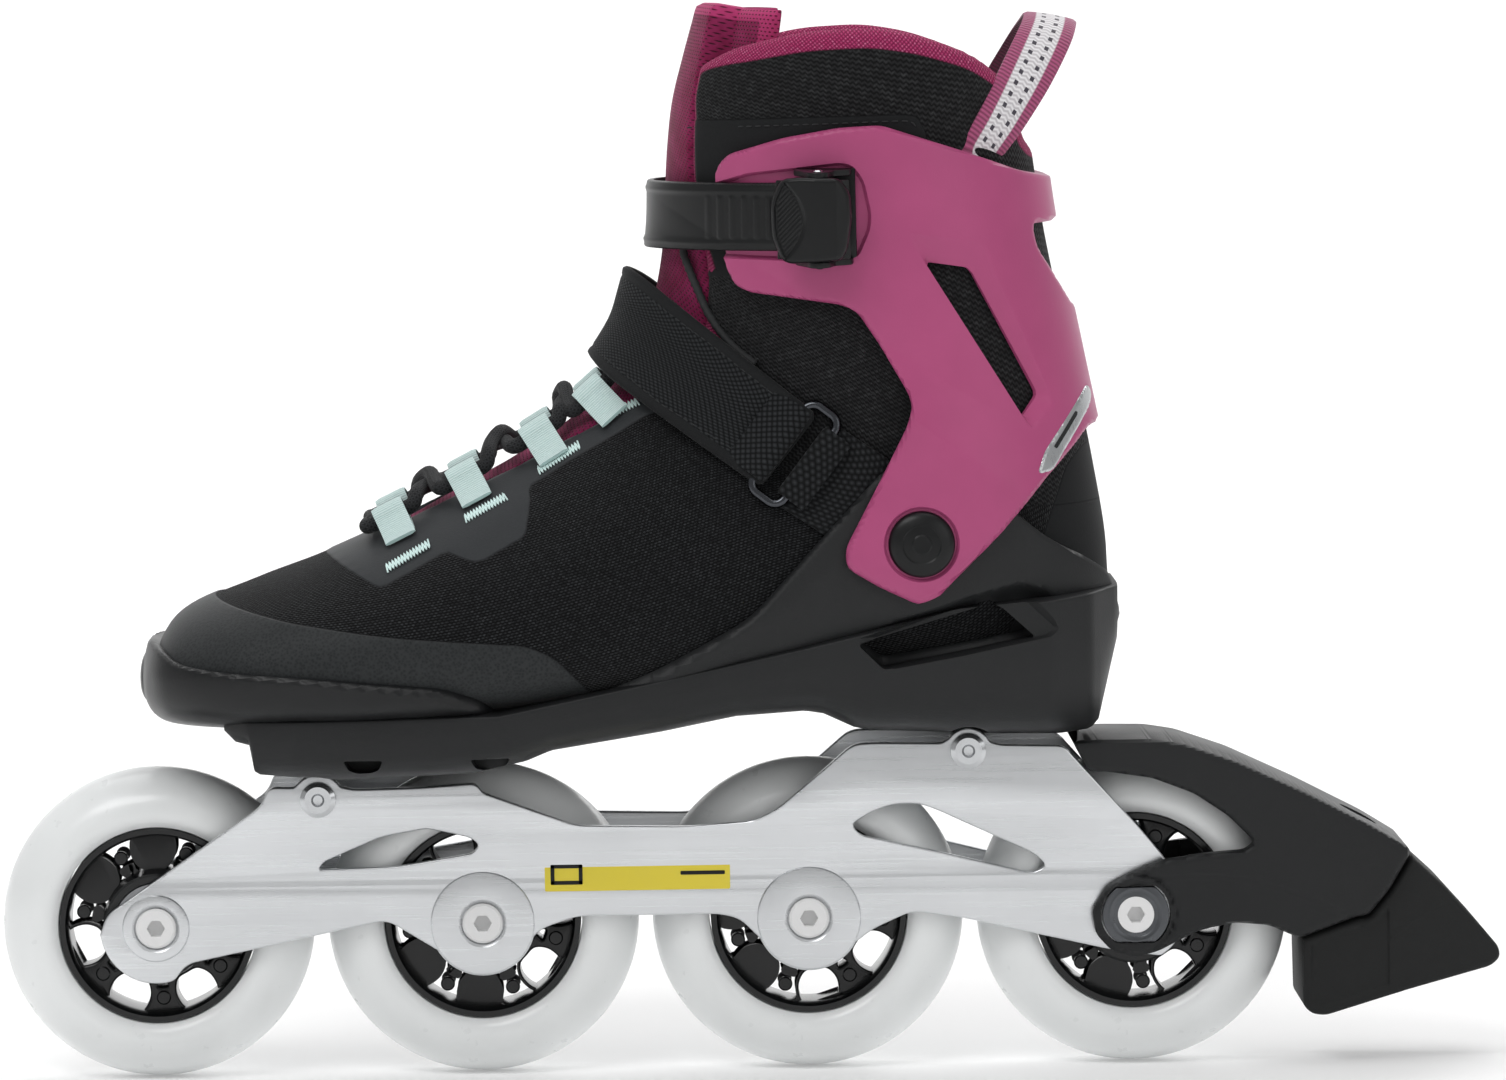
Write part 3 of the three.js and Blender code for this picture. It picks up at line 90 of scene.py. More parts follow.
# ---- boot sections, toe to top: upper x, z, lower x, z, half width, shift, roundness above and
# below, widest height, wall ----
LAST = np.array([
    [-124.4, 107.5, -124.2, 99, 13, 5, 2, 2.4, 0.45, 4],
    [-122.6, 113.5, -122, 96, 24.5, 5, 2, 2.6, 0.43, 4],
    [-118, 119.3, -117, 95, 34, 4.5, 2, 2.8, 0.4, 4],
    [-107, 125, -106, 94.6, 42, 3.5, 2, 3, 0.38, 4],
    [-90, 131.3, -88, 94.3, 47, 2, 2, 3, 0.36, 4],
    [-70, 139.2, -64, 94, 49, 1, 2, 3, 0.36, 4],
    [-50, 149.6, -38, 94, 48.5, 0.5, 1.95, 3, 0.36, 4],
    [-30, 161, -10, 95.5, 46, 0, 1.9, 3, 0.37, 4.5],
    [-12, 173.5, 22, 98.5, 42.5, 0, 1.9, 2.8, 0.38, 5],
    [-2, 185.5, 58, 101.5, 38.5, 0, 1.9, 2.6, 0.4, 5.5],
    [2.5, 196, 98, 102.5, 36.5, 0, 1.9, 2.5, 0.42, 6],
    [5, 206, 117.5, 112, 36.5, 0, 2, 2.4, 0.45, 6.5],
    [6.3, 216, 119.8, 131, 37.5, 0, 2, 2.2, 0.48, 7],
    [6.8, 226, 116.5, 155, 39, 0, 2.1, 2.2, 0.5, 7],
    [7.5, 237, 110.5, 185, 40, 0, 2.2, 2.2, 0.5, 7],
    [9, 249, 104.5, 215, 41, 0, 2.2, 2.2, 0.5, 7],
    [12, 261, 101, 240, 41.5, 0, 2.2, 2.2, 0.5, 7],
    [15.5, 274, 98, 264, 42, 0, 2.2, 2.2, 0.5, 7],
    [18, 286, 97, 280, 42, 0, 2.2, 2.2, 0.5, 7],
])
TOP = len(LAST) - 1
SHELL_OUT = 3.45
PIVOT = (70.8, 137.7)
AXLES = [-125.25, -41.75, 41.75, 125.25]
WHEEL_R = 40.0
WELL_R = 41.8
CUFF_T = 3.0
PAD_SCREW_X = 184
PIVOT_R = 8.4
UV_JUMP = 40


def table(s):
    """The section table at places s, smoothly between its rows."""
    c = np.clip(s, 0, TOP - 1e-6)
    i = np.floor(c).astype(int)
    t = (c - i)[..., None]
    a, b, d, e = [LAST[np.clip(i + k, 0, TOP)] for k in (-1, 0, 1, 2)]
    q = 2 * a - 5 * b + 4 * d - e
    r = 3 * b - a - 3 * d + e
    return (2 * b + (d - a) * t + q * t * t + r * t ** 3) / 2


def skin(s, a, dt=0.0, db=0.0, dw=0.0):
    """Points of the boot's skin at places s and angles a, grown above, below and sideways.
    Below s = 0 the toe closes."""
    s, a = np.broadcast_arrays(np.asarray(s, float), np.asarray(a, float))
    w = table(np.maximum(s, 0))
    up, low = w[..., 0:2], w[..., 2:4]
    along = up - low
    along = along / np.linalg.norm(along, axis=-1, keepdims=True)
    dt, db, dw = [np.broadcast_to(x, s.shape) for x in (dt, db, dw)]
    up = up + along * dt[..., None]
    low = low - along * db[..., None]
    length = np.linalg.norm(up - low, axis=-1)
    c, v = np.cos(a), np.sin(a)
    e = np.where(v > 0, w[..., 6], w[..., 7])
    bow_c = np.sign(c) * np.abs(c) ** (2 / e)
    bow_v = np.sign(v) * np.abs(v) ** (2 / e)
    close = np.clip(-s, 0, 1)
    small = np.cos(close * PI / 2) ** 0.8
    reach = np.where(v > 0, (1 - w[..., 8]) * length, w[..., 8] * length) * bow_v * small
    centre = low + along * (w[..., 8] * length)[..., None]
    x = centre[..., 0] + along[..., 0] * reach - 1.1 * np.sin(close * PI / 2)
    z = centre[..., 1] + along[..., 1] * reach
    y = w[..., 5] + (w[..., 4] + dw) * bow_c * small
    return np.stack([x, y, z], -1)


def normals(s, a, grow):
    g = 0.02
    ps = skin(s + g, a, *grow) - skin(s - g, a, *grow)
    pa = skin(s, a + g, *grow) - skin(s, a - g, *grow)
    n = np.cross(ps, pa)
    size = np.linalg.norm(n, axis=-1, keepdims=True)
    n = np.where(size > 1e-7, n / (size + 1e-12), [-1.0, 0.0, 0.0])
    mid = skin(s, a, *grow)
    core = (skin(s, np.full_like(a, PI / 2), *grow) + skin(s, np.full_like(a, -PI / 2), *grow)) / 2
    flip = np.sum(n * (mid - core), -1) < 0
    n[flip] *= -1
    return n


def even_rows(s0, s1, step, a=PI):
    """Places along the boot about step mm apart, measured on its side and its top."""
    s = np.linspace(s0, s1, 1200)
    far = 0
    for b in (a, PI / 2, -PI / 2):
        p = skin(s, np.full_like(s, b))
        far = far + np.r_[0, np.cumsum(np.linalg.norm(np.diff(p, axis=0), axis=1))]
    far = far / 3
    n = max(3, int(far[-1] / step) + 1)
    return np.interp(np.linspace(0, far[-1], n), far, s)


def even_angles(rows, a0, a1, count, grow):
    """Angles evenly apart along each section, with the length from the outer side to each."""
    f = np.linspace(a0, a1, 900)
    out, length = [], []
    for k, s in enumerate(rows):
        g = [x[k] if np.ndim(x) else x for x in grow]
        p = skin(np.full_like(f, s), f, *g)
        d = np.r_[0, np.cumsum(np.linalg.norm(np.diff(p, axis=0), axis=1))]
        at = np.linspace(0, d[-1], count)
        out.append(np.interp(at, d, f))
        length.append(at - np.interp(PI, f, d))
    return np.array(out), np.array(length)


def sd(poly, x, z):
    """Distance to a closed outline, positive inside."""
    best = np.full(np.shape(x), 1e9)
    inside = np.zeros(np.shape(x), bool)
    pts = np.asarray(poly, float)
    for (ax, az), (bx, bz) in zip(pts, np.roll(pts, -1, 0)):
        dx, dz = bx - ax, bz - az
        t = np.clip(((x - ax) * dx + (z - az) * dz) / (dx * dx + dz * dz + 1e-12), 0, 1)
        best = np.minimum(best, (x - ax - t * dx) ** 2 + (z - az - t * dz) ** 2)
        if az != bz:
            inside ^= ((az > z) != (bz > z)) & (x < (bx - ax) * (z - az) / (bz - az) + ax)
    return np.where(inside, 1.0, -1.0) * np.sqrt(best)


def line_far(path, x, z):
    """Distance to an open line, and the length along it."""
    best = np.full(np.shape(x), 1e9)
    run = np.zeros(np.shape(x))
    done = 0.0
    for (ax, az), (bx, bz) in zip(path[:-1], path[1:]):
        dx, dz = bx - ax, bz - az
        size = math.hypot(dx, dz)
        t = np.clip(((x - ax) * dx + (z - az) * dz) / (size * size), 0, 1)
        d = np.hypot(x - ax - t * dx, z - az - t * dz)
        near = d < best
        best = np.where(near, d, best)
        run = np.where(near, done + t * size, run)
        done += size
    return best, run


def soft(points, radius=3.0, steps=5):
    """A closed outline with its corners rounded."""
    out = []
    n = len(points)
    for i, (x, z) in enumerate(points):
        (px, pz), (qx, qz) = points[i - 1], points[(i + 1) % n]
        b, f = math.hypot(px - x, pz - z), math.hypot(qx - x, qz - z)
        r = min(radius, b / 2.2, f / 2.2)
        ax, az = x + (px - x) * r / b, z + (pz - z) * r / b
        cx, cz = x + (qx - x) * r / f, z + (qz - z) * r / f
        for k in range(steps + 1):
            t = k / steps
            out.append((
                (1 - t) ** 2 * ax + 2 * t * (1 - t) * x + t * t * cx,
                (1 - t) ** 2 * az + 2 * t * (1 - t) * z + t * t * cz,
            ))
    return out


def flow(points, per=6, closed=False):
    """A smooth line through points of any dimension."""
    p = np.asarray(points, float)
    n = len(p)
    out = []
    spans = n if closed else n - 1
    for i in range(spans):
        if closed:
            a, b, d, e = p[i - 1], p[i], p[(i + 1) % n], p[(i + 2) % n]
        else:
            a, b, d, e = p[max(i - 1, 0)], p[i], p[i + 1], p[min(i + 2, n - 1)]
        for k in range(per):
            t = k / per
            q = 2 * a - 5 * b + 4 * d - e
            r = 3 * b - a - 3 * d + e
            out.append((2 * b + (d - a) * t + q * t * t + r * t ** 3) / 2)
    if not closed:
        out.append(p[-1])
    return np.array(out)


def ramp(x, a, b):
    t = np.clip((x - a) / (b - a), 0, 1)
    return t * t * (3 - 2 * t)


def edge_round(d, r):
    """How far the surface drops at distance d from an edge rounded to radius r."""
    t = np.clip(d, 0, r)
    return r - np.sqrt(np.maximum(r * r - (r - t) ** 2, 0))


# ---- object makers ----
def put(obj):
    bpy.context.scene.collection.objects.link(obj)
    return obj


def shade(me, angle=35):
    me.shade_smooth()
    if angle < 180:
        me.set_sharp_from_angle(angle=math.radians(angle))


def make(name, verts, faces, angle=35, attrs=None, uv=None):
    me = bpy.data.meshes.new(name)
    me.from_pydata(place(verts).tolist(), [], faces)
    me.update()
    for key, values in (attrs or {}).items():
        layer = me.attributes.new(key, "FLOAT", "POINT")
        layer.data.foreach_set("value", np.asarray(values, np.float32))
    if uv is not None:
        layer = me.uv_layers.new(name="mm")
        index = np.zeros(len(me.loops), np.int32)
        me.loops.foreach_get("vertex_index", index)
        layer.data.foreach_set("uv", (np.asarray(uv)[index] * 0.01).astype(np.float32).ravel())
    shade(me, angle)
    return put(bpy.data.objects.new(name, me))


def fix_normals(obj):
    bm = bmesh.new()
    bm.from_mesh(obj.data)
    bmesh.ops.recalc_face_normals(bm, faces=bm.faces)
    bm.to_mesh(obj.data)
    bm.free()
    return obj


def field(name, rows, count, region, top, bottom, mean=0.0, grow=(0, 0, 0), a0=-PI / 2,
          a1=1.5 * PI, angle=40, attrs=None, lines=()):
    """A wall that follows the boot's skin, trimmed to a region, with its own outer and inner
    heights. region, top and bottom take the place (x, y, z), s, angle and edge distance.
    The faces are also split where a function in lines, of the same place, changes sign."""
    closed = abs(a1 - a0 - 2 * PI) < 1e-6
    rows = np.asarray(rows)
    g_rows = [np.asarray(g(rows)) if callable(g) else np.full(len(rows), float(g)) for g in grow]
    ang, across = even_angles(rows, a0, a1, count + (1 if closed else 0), g_rows)
    if closed:
        ang, across = ang[:, :-1], across[:, :-1]
    s = np.repeat(rows[:, None], ang.shape[1], 1)
    g = [np.repeat(x[:, None], ang.shape[1], 1) for x in g_rows]
    base = skin(s, ang, *g)
    nor = normals(s, ang, g)
    mid = base + nor * mean
    step = np.linalg.norm(np.diff(skin(rows, np.full(len(rows), PI)), axis=0), axis=1)
    v = np.repeat(np.r_[0, np.cumsum(step)][:, None], ang.shape[1], 1)
    d = region(mid[..., 0], mid[..., 1], mid[..., 2], s, ang)
    uv = np.stack([across, v], -1)
    return wall(name, base, nor, mid, s, ang, uv, d, closed, top, bottom, angle, attrs, lines)


def between(rows, i, j, t, closed):
    """Each array with values added at t of the way from points i to points j. The fifth array
    holds angles, which wrap, and the sixth surface coordinates, which don't cross the seam."""
    out = []
    for k, q in enumerate(rows):
        w = t[:, None] if q.ndim == 2 else t
        other = q[j]
        if k == 4 and closed:
            other = q[i] + (q[j] - q[i] + PI) % (2 * PI) - PI
        if k == 5:
            jump = np.abs(q[j] - q[i]).max(1) > UV_JUMP
            other = np.where(jump[:, None], q[i], q[j])
        out.append(np.concatenate([q, q[i] * (1 - w) + other * w]))
    return out


def wall(name, base, nor, mid, s, ang, uv, d, closed, top, bottom, angle, attrs, lines):
    """The wall of field() and slab(), from grids of places and directions."""
    ns, na = s.shape
    flat = lambda x: x.reshape(ns * na, -1) if x.ndim == 3 else x.reshape(-1)
    base, nor, mid, s, ang, uv, d = [flat(x) for x in (base, nor, mid, s, ang, uv, d)]
    ids = np.arange(ns * na).reshape(ns, na)
    nxt = np.roll(ids, -1, 1) if closed else ids[:, 1:]
    cur = ids if closed else ids[:, :-1]
    quads = np.stack([cur[:-1], nxt[:-1], nxt[1:], cur[1:]], -1).reshape(-1, 4)
    keep_in = d[quads] > 0
    full = quads[keep_in.all(1)]
    part = quads[keep_in.any(1) & ~keep_in.all(1)]
    extra, made = [], {}

    def crossing(i, j):
        key = (min(i, j), max(i, j))
        if key not in made:
            t = d[i] / (d[i] - d[j])
            made[key] = ns * na + len(extra)
            extra.append((i, j, t))
        return made[key]

    cut = []
    for q in part:
        poly = []
        for k in range(4):
            i, j = int(q[k]), int(q[(k + 1) % 4])
            if d[i] > 0:
                poly.append(i)
            if (d[i] > 0) != (d[j] > 0):
                poly.append(crossing(i, j))
        if len(poly) > 2:
            cut.append(poly)
    if extra:
        i = np.array([e[0] for e in extra])
        j = np.array([e[1] for e in extra])
        t = np.array([e[2] for e in extra])
        base, nor, mid, s, ang, uv = between((base, nor, mid, s, ang, uv), i, j, t, closed)
        d = np.concatenate([d, np.zeros(len(extra))])
    faces = [tuple(int(k) for k in f) for f in full.tolist()] + [tuple(p) for p in cut]
    for line in lines:
        value = line(*mid.T, s, ang)
        value = np.where(np.abs(value) < 1e-3, 1e-3, value)
        side = value > 0
        new_faces, added, found = [], [], {}
        for f in faces:
            inside = [bool(side[k]) for k in f]
            if all(inside) or not any(inside):
                new_faces.append(f)
                continue
            two = ([], [])
            for k, i in enumerate(f):
                j = f[(k + 1) % len(f)]
                two[int(side[i])].append(i)
                if side[i] != side[j]:
                    key = (min(i, j), max(i, j))
                    if key not in found:
                        found[key] = len(base) + len(added)
                        added.append((key[0], key[1],
                                      value[key[0]] / (value[key[0]] - value[key[1]])))
                    two[0].append(found[key])
                    two[1].append(found[key])
            new_faces += [tuple(t) for t in two if len(t) > 2]
        faces = new_faces
        if added:
            i, j, t = (np.array(v) for v in zip(*added))
            base, nor, mid, s, ang, uv, d = between((base, nor, mid, s, ang, uv, d), i, j, t,
                                                    closed)
    x, y, z = mid.T
    hi = top(x, y, z, s, ang, d)
    lo = bottom(x, y, z, s, ang, d)
    outer = base + nor * hi[:, None]
    inner = base + nor * lo[:, None]
    used = np.zeros(len(base), bool)
    for f in faces:
        used[list(f)] = True
    keep = np.flatnonzero(used)
    new = np.full(len(base), -1)
    new[keep] = np.arange(len(keep))
    faces = [tuple(int(new[k]) for k in f) for f in faces]
    n = len(keep)
    edges = {}
    for f in faces:
        for k in range(len(f)):
            e = (f[k], f[(k + 1) % len(f)])
            edges[e] = edges.get(e, 0) + 1
    rim = [e for e in edges if (e[1], e[0]) not in edges]
    allf = faces + [tuple(k + n for k in reversed(f)) for f in faces]
    allf += [(b, a, a + n, b + n) for a, b in rim]
    verts = np.concatenate([outer[keep], inner[keep]])
    values = {"edge": np.tile(d[keep], 2), "inside": np.r_[np.zeros(n), np.ones(n)]}
    for key, fn in (attrs or {}).items():
        got = fn(x, y, z, s, ang, d)[keep]
        values[key] = np.tile(got, 2)
    obj = make(name, verts, allf, angle, values, np.tile(uv[keep], (2, 1)))
    return fix_normals(obj)


def slab(name, outline, step, top, bottom, holes=(), angle=40, attrs=None, lines=(), turn=0.0):
    """A piece drawn in the side view: top is how far it reaches to the outer side, bottom to the
    inner side (both as -y), each a function of (x, z, distance to the edge)."""
    p = np.asarray(outline, float)
    c, q = math.cos(turn), math.sin(turn)
    r = np.stack([p[:, 0] * c + p[:, 1] * q, -p[:, 0] * q + p[:, 1] * c], 1)
    lo, hi = r.min(0) - step, r.max(0) + step
    a = np.arange(lo[0], hi[0] + step, step)
    b = np.arange(lo[1], hi[1] + step, step)
    aa, bb = np.meshgrid(a, b, indexing="ij")
    x, z = aa * c - bb * q, aa * q + bb * c
    base = np.stack([x, np.zeros_like(x), z], -1)
    nor = np.zeros_like(base)
    nor[..., 1] = -1
    d = sd(outline, x, z)
    for h in holes:
        d = np.minimum(d, -sd(h, x, z))
    up = lambda x, y, z, s, k, d: top(x, z, d)
    low = lambda x, y, z, s, k, d: bottom(x, z, d)
    more = [(lambda x, y, z, s, k, f=f: f(x, z)) for f in lines]
    extra = {k: (lambda x, y, z, s, w, d, f=f: f(x, z, d)) for k, f in (attrs or {}).items()}
    uv = np.stack([x, z], -1)
    return wall(name, base, nor, base.copy(), aa, bb, uv, d, False, up, low, angle, extra, more)


def lathe(name, x, z, profile, segments=96, smooth=0.0, angle=35):
    """A closed profile of (radius, y) turned round a line along Y."""
    prof = soft(profile, smooth, 4) if smooth else profile
    r = np.array([p[0] for p in prof])
    y = np.array([p[1] for p in prof])
    t = np.linspace(0, 2 * PI, segments, endpoint=False)
    verts, faces, index = [], [], []
    for k in range(len(prof)):
        if r[k] < 1e-6:
            index.append([len(verts)] * segments)
            verts.append((x, y[k], z))
        else:
            index.append(list(range(len(verts), len(verts) + segments)))
            verts += [(x + r[k] * math.cos(b), y[k], z + r[k] * math.sin(b)) for b in t]
    for k in range(len(prof)):
        m = (k + 1) % len(prof)
        if r[k] < 1e-6 and r[m] < 1e-6:
            continue
        for j in range(segments):
            i = (j + 1) % segments
            f = [index[k][j], index[k][i], index[m][i], index[m][j]]
            f = [v for n, v in enumerate(f) if v not in f[:n]]
            if len(f) > 2:
                faces.append(tuple(f))
    return fix_normals(make(name, verts, faces, angle))


def ccw(points):
    a = sum(p[0] * q[1] - q[0] * p[1] for p, q in zip(points, points[1:] + points[:1]))
    return list(points) if a > 0 else list(reversed(points))


def plate(name, outline, holes, y0, y1, bevel=0.5, res=3, angle=35):
    """A flat piece in the side view with rounded edges and holes, from y0 to y1."""
    cu = bpy.data.curves.new(name, "CURVE")
    cu.dimensions = "2D"
    cu.fill_mode = "BOTH"
    cu.extrude = max((y1 - y0) / 2 - bevel, 0.01)
    cu.bevel_depth = bevel
    cu.bevel_resolution = res
    cu.offset = -bevel
    for pts in [ccw(list(outline))] + [ccw(list(h))[::-1] for h in holes]:
        sp = cu.splines.new("POLY")
        sp.points.add(len(pts) - 1)
        for p, (px, pz) in zip(sp.points, pts):
            p.co = (px, pz, 0, 1)
        sp.use_cyclic_u = True
    tmp = put(bpy.data.objects.new(name, cu))
    bpy.context.view_layer.update()
    dg = bpy.context.evaluated_depsgraph_get()
    me = bpy.data.meshes.new_from_object(tmp.evaluated_get(dg))
    bpy.data.objects.remove(tmp)
    co = np.zeros(len(me.vertices) * 3)
    me.vertices.foreach_get("co", co)
    co = co.reshape(-1, 3)
    out = np.stack([co[:, 0], (y0 + y1) / 2 - co[:, 2], co[:, 1]], -1)
    me.vertices.foreach_set("co", place(out).ravel())
    me.update()
    bm = bmesh.new()
    bm.from_mesh(me)
    bmesh.ops.remove_doubles(bm, verts=bm.verts, dist=2e-6)
    bmesh.ops.recalc_face_normals(bm, faces=bm.faces)
    bm.to_mesh(me)
    bm.free()
    shade(me, angle)
    me.name = name
    return put(bpy.data.objects.new(name, me))


def applied(obj):
    """The object with its modifiers applied."""
    bpy.context.view_layer.update()
    dg = bpy.context.evaluated_depsgraph_get()
    me = bpy.data.meshes.new_from_object(obj.evaluated_get(dg))
    old = obj.data
    obj.modifiers.clear()
    obj.data = me
    bpy.data.meshes.remove(old)
    return obj


def cut(obj, others, how="DIFFERENCE"):
    for o in others:
        m = obj.modifiers.new("cut", "BOOLEAN")
        m.operation = how
        m.object = o
        m.solver = "MANIFOLD"
        applied(obj)
        bpy.data.objects.remove(o)
    return obj


def prism(name, outline, y0, y1):
    """A plain prism of a side outline, used for cutting."""
    pts = ccw(list(outline))
    n = len(pts)
    verts = [(x, y0, z) for x, z in pts] + [(x, y1, z) for x, z in pts]
    faces = [tuple(range(n)), tuple(reversed(range(n, 2 * n)))]
    faces += [(i, (i + 1) % n, (i + 1) % n + n, i + n) for i in range(n)]
    return fix_normals(make(name, verts, faces))


def rod(name, x, z, r, y0, y1, segments=64):
    return lathe(name, x, z, [(0, y0), (r, y0), (r, y1), (0, y1)], segments)


def block(name, x0, x1, y0, y1, z0, z1):
    return prism(name, [(x0, z0), (x1, z0), (x1, z1), (x0, z1)], y0, y1)


def loft(name, grow, s0, s1, step=1.6, count=200):
    """The boot's skin as a closed solid."""
    rows = even_rows(s0, s1, step)
    g = [np.asarray(x(rows)) if callable(x) else np.full(len(rows), float(x)) for x in grow]
    ang, _ = even_angles(rows, -PI / 2, 1.5 * PI, count + 1, g)
    ang = ang[:, :-1]
    s = np.repeat(rows[:, None], count, 1)
    p = skin(s, ang, *[np.repeat(x[:, None], count, 1) for x in g])
    n = len(rows)
    verts = p.reshape(-1, 3)
    faces = []
    for i in range(n - 1):
        for j in range(count):
            k = (j + 1) % count
            faces.append((i * count + j, i * count + k, (i + 1) * count + k, (i + 1) * count + j))
    faces.append(tuple(range(count)))
    faces.append(tuple(reversed(range((n - 1) * count, n * count))))
    return fix_normals(make(name, verts, faces, 180))


def tube(name, points, radius, around=12, closed=False, up=(0, 0, 1), angle=180):
    """A round wire along points; radius may vary."""
    p = np.asarray(points, float)
    n = len(p)
    rad = np.broadcast_to(radius, (n,))
    after = np.roll(p, -1, 0) if closed else np.vstack([p[1:], p[-1]])
    before = np.roll(p, 1, 0) if closed else np.vstack([p[0], p[:-1]])
    run = after - before
    run /= np.linalg.norm(run, axis=1)[:, None]
    u = np.asarray(up, float)
    verts = []
    length = 0
    for k in range(n):
        u = u - run[k] * (u @ run[k])
        u /= np.linalg.norm(u)
        v = np.cross(run[k], u)
        for j in range(around):
            t = 2 * PI * j / around
            verts.append(p[k] + (u * math.cos(t) + v * math.sin(t)) * rad[k])
    faces = []
    for k in range(n if closed else n - 1):
        m = (k + 1) % n
        for j in range(around):
            i = (j + 1) % around
            faces.append((k * around + j, k * around + i, m * around + i, m * around + j))
    if not closed:
        faces.append(tuple(range(around)))
        faces.append(tuple(reversed(range((n - 1) * around, n * around))))
    far = np.r_[0, np.cumsum(np.linalg.norm(np.diff(p, axis=0), axis=1))]
    uv = np.stack([np.tile(np.arange(around) / around * 2 * PI, n) * np.repeat(rad, around),
                   np.repeat(far, around)], -1)
    return fix_normals(make(name, verts, faces, angle, None, uv))


def joined(name, objs):
    """Several meshes as one object."""
    bm = bmesh.new()
    mats = []
    for o in objs:
        tmp = o.data.copy()
        mine = [m for m in tmp.materials]
        for m in mine:
            if m not in mats:
                mats.append(m)
        if mine:
            lut = [mats.index(m) for m in mine]
            for p in tmp.polygons:
                p.material_index = lut[p.material_index]
        bm.from_mesh(tmp)
        bpy.data.meshes.remove(tmp)
    me = bpy.data.meshes.new(name)
    bm.to_mesh(me)
    bm.free()
    for m in mats:
        me.materials.append(m)
    for o in objs:
        old = o.data
        bpy.data.objects.remove(o)
        bpy.data.meshes.remove(old)
    return put(bpy.data.objects.new(name, me))


# ---- materials ----
def srgb(h):
    c = [int(h[i:i + 2], 16) / 255 for i in (0, 2, 4)]
    return tuple(x / 12.92 if x <= 0.04045 else ((x + 0.055) / 1.055) ** 2.4 for x in c) + (1,)


class Mat:
    """A small builder for node materials. Sizes of patterns are in millimetres."""

    def __init__(self, name, color, rough=0.5, metal=0.0, **sockets):
        self.mat = bpy.data.materials.new(name)
        self.mat.use_nodes = True
        self.t = self.mat.node_tree
        self.b = self.t.nodes["Principled BSDF"]
        self.b.inputs["Base Color"].default_value = srgb(color) if isinstance(color, str) else color
        self.b.inputs["Roughness"].default_value = rough
        self.b.inputs["Metallic"].default_value = metal
        for key, value in sockets.items():
            self.b.inputs[key.replace("_", " ")].default_value = value
        self.base = self.b.inputs["Base Color"].default_value[:]
        self.height = None

    def node(self, kind, **props):
        n = self.t.nodes.new(kind)
        for key, value in props.items():
            setattr(n, key, value)
        return n

    def link(self, a, b):
        self.t.links.new(a, b)

    def feed(self, socket, value):
        if hasattr(value, "links"):
            self.link(value, socket)
        elif value is not None:
            socket.default_value = value

    def math(self, op, a, b=None, c=None, clamp=False):
        n = self.node("ShaderNodeMath", operation=op, use_clamp=clamp)
        self.feed(n.inputs[0], a)
        self.feed(n.inputs[1], b)
        if c is not None:
            self.feed(n.inputs[2], c)
        return n.outputs[0]

    def obj(self, scale=1.0, stretch=(1, 1, 1)):
        """Object coordinates in units of scale millimetres."""
        tc = self.node("ShaderNodeTexCoord")
        m = self.node("ShaderNodeMapping")
        self.link(tc.outputs["Object"], m.inputs["Vector"])
        m.inputs["Scale"].default_value = [1000 / scale * k for k in stretch]
        return m.outputs[0]

    def uv(self, angle=0.0, scale=1.0):
        """Surface coordinates in units of scale millimetres: across, along."""
        u = self.node("ShaderNodeUVMap", uv_map="mm")
        m = self.node("ShaderNodeMapping")
        self.link(u.outputs[0], m.inputs["Vector"])
        m.inputs["Rotation"].default_value = (0, 0, angle)
        m.inputs["Scale"].default_value = (100 / scale, 100 / scale, 1)
        s = self.node("ShaderNodeSeparateXYZ")
        self.link(m.outputs[0], s.inputs[0])
        return m.outputs[0], s.outputs[0], s.outputs[1]

    def attr(self, name):
        return self.node("ShaderNodeAttribute", attribute_name=name).outputs["Fac"]

    def noise(self, vec, scale=1.0, detail=3.0, rough=0.55):
        n = self.node("ShaderNodeTexNoise")
        self.link(vec, n.inputs["Vector"])
        n.inputs["Scale"].default_value = scale
        n.inputs["Detail"].default_value = detail
        n.inputs["Roughness"].default_value = rough
        return n.outputs["Fac"]

    def cells(self, vec, scale=1.0, feature="F1"):
        n = self.node("ShaderNodeTexVoronoi", feature=feature)
        self.link(vec, n.inputs["Vector"])
        n.inputs["Scale"].default_value = scale
        return n.outputs["Distance"]

    def map(self, x, a, b, c=0.0, d=1.0):
        n = self.node("ShaderNodeMapRange")
        self.feed(n.inputs["Value"], x)
        for key, value in zip(("From Min", "From Max", "To Min", "To Max"), (a, b, c, d)):
            n.inputs[key].default_value = value
        return n.outputs[0]

    def mix(self, fac, a, b):
        n = self.node("ShaderNodeMix", data_type="RGBA")
        self.feed(n.inputs[0], fac)
        for k, value in ((6, a), (7, b)):
            if isinstance(value, str):
                value = srgb(value)
            self.feed(n.inputs[k], value)
        return n.outputs[2]

    def color(self, value):
        self.feed(self.b.inputs["Base Color"], value)

    def rough(self, value):
        self.feed(self.b.inputs["Roughness"], value)

    def bump(self, height, distance, strength=1.0):
        """Height 0..1 raised by distance millimetres."""
        n = self.node("ShaderNodeBump")
        n.inputs["Strength"].default_value = strength
        n.inputs["Distance"].default_value = distance * 0.001
        self.feed(n.inputs["Height"], height)
        if self.height is not None:
            self.link(self.height, n.inputs["Normal"])
        self.height = n.outputs[0]
        self.link(self.height, self.b.inputs["Normal"])

    def tri(self, x, period):
        """0 to 1 and back over each period."""
        return self.math("MULTIPLY", self.math("PINGPONG", x, period / 2), 2 / period)


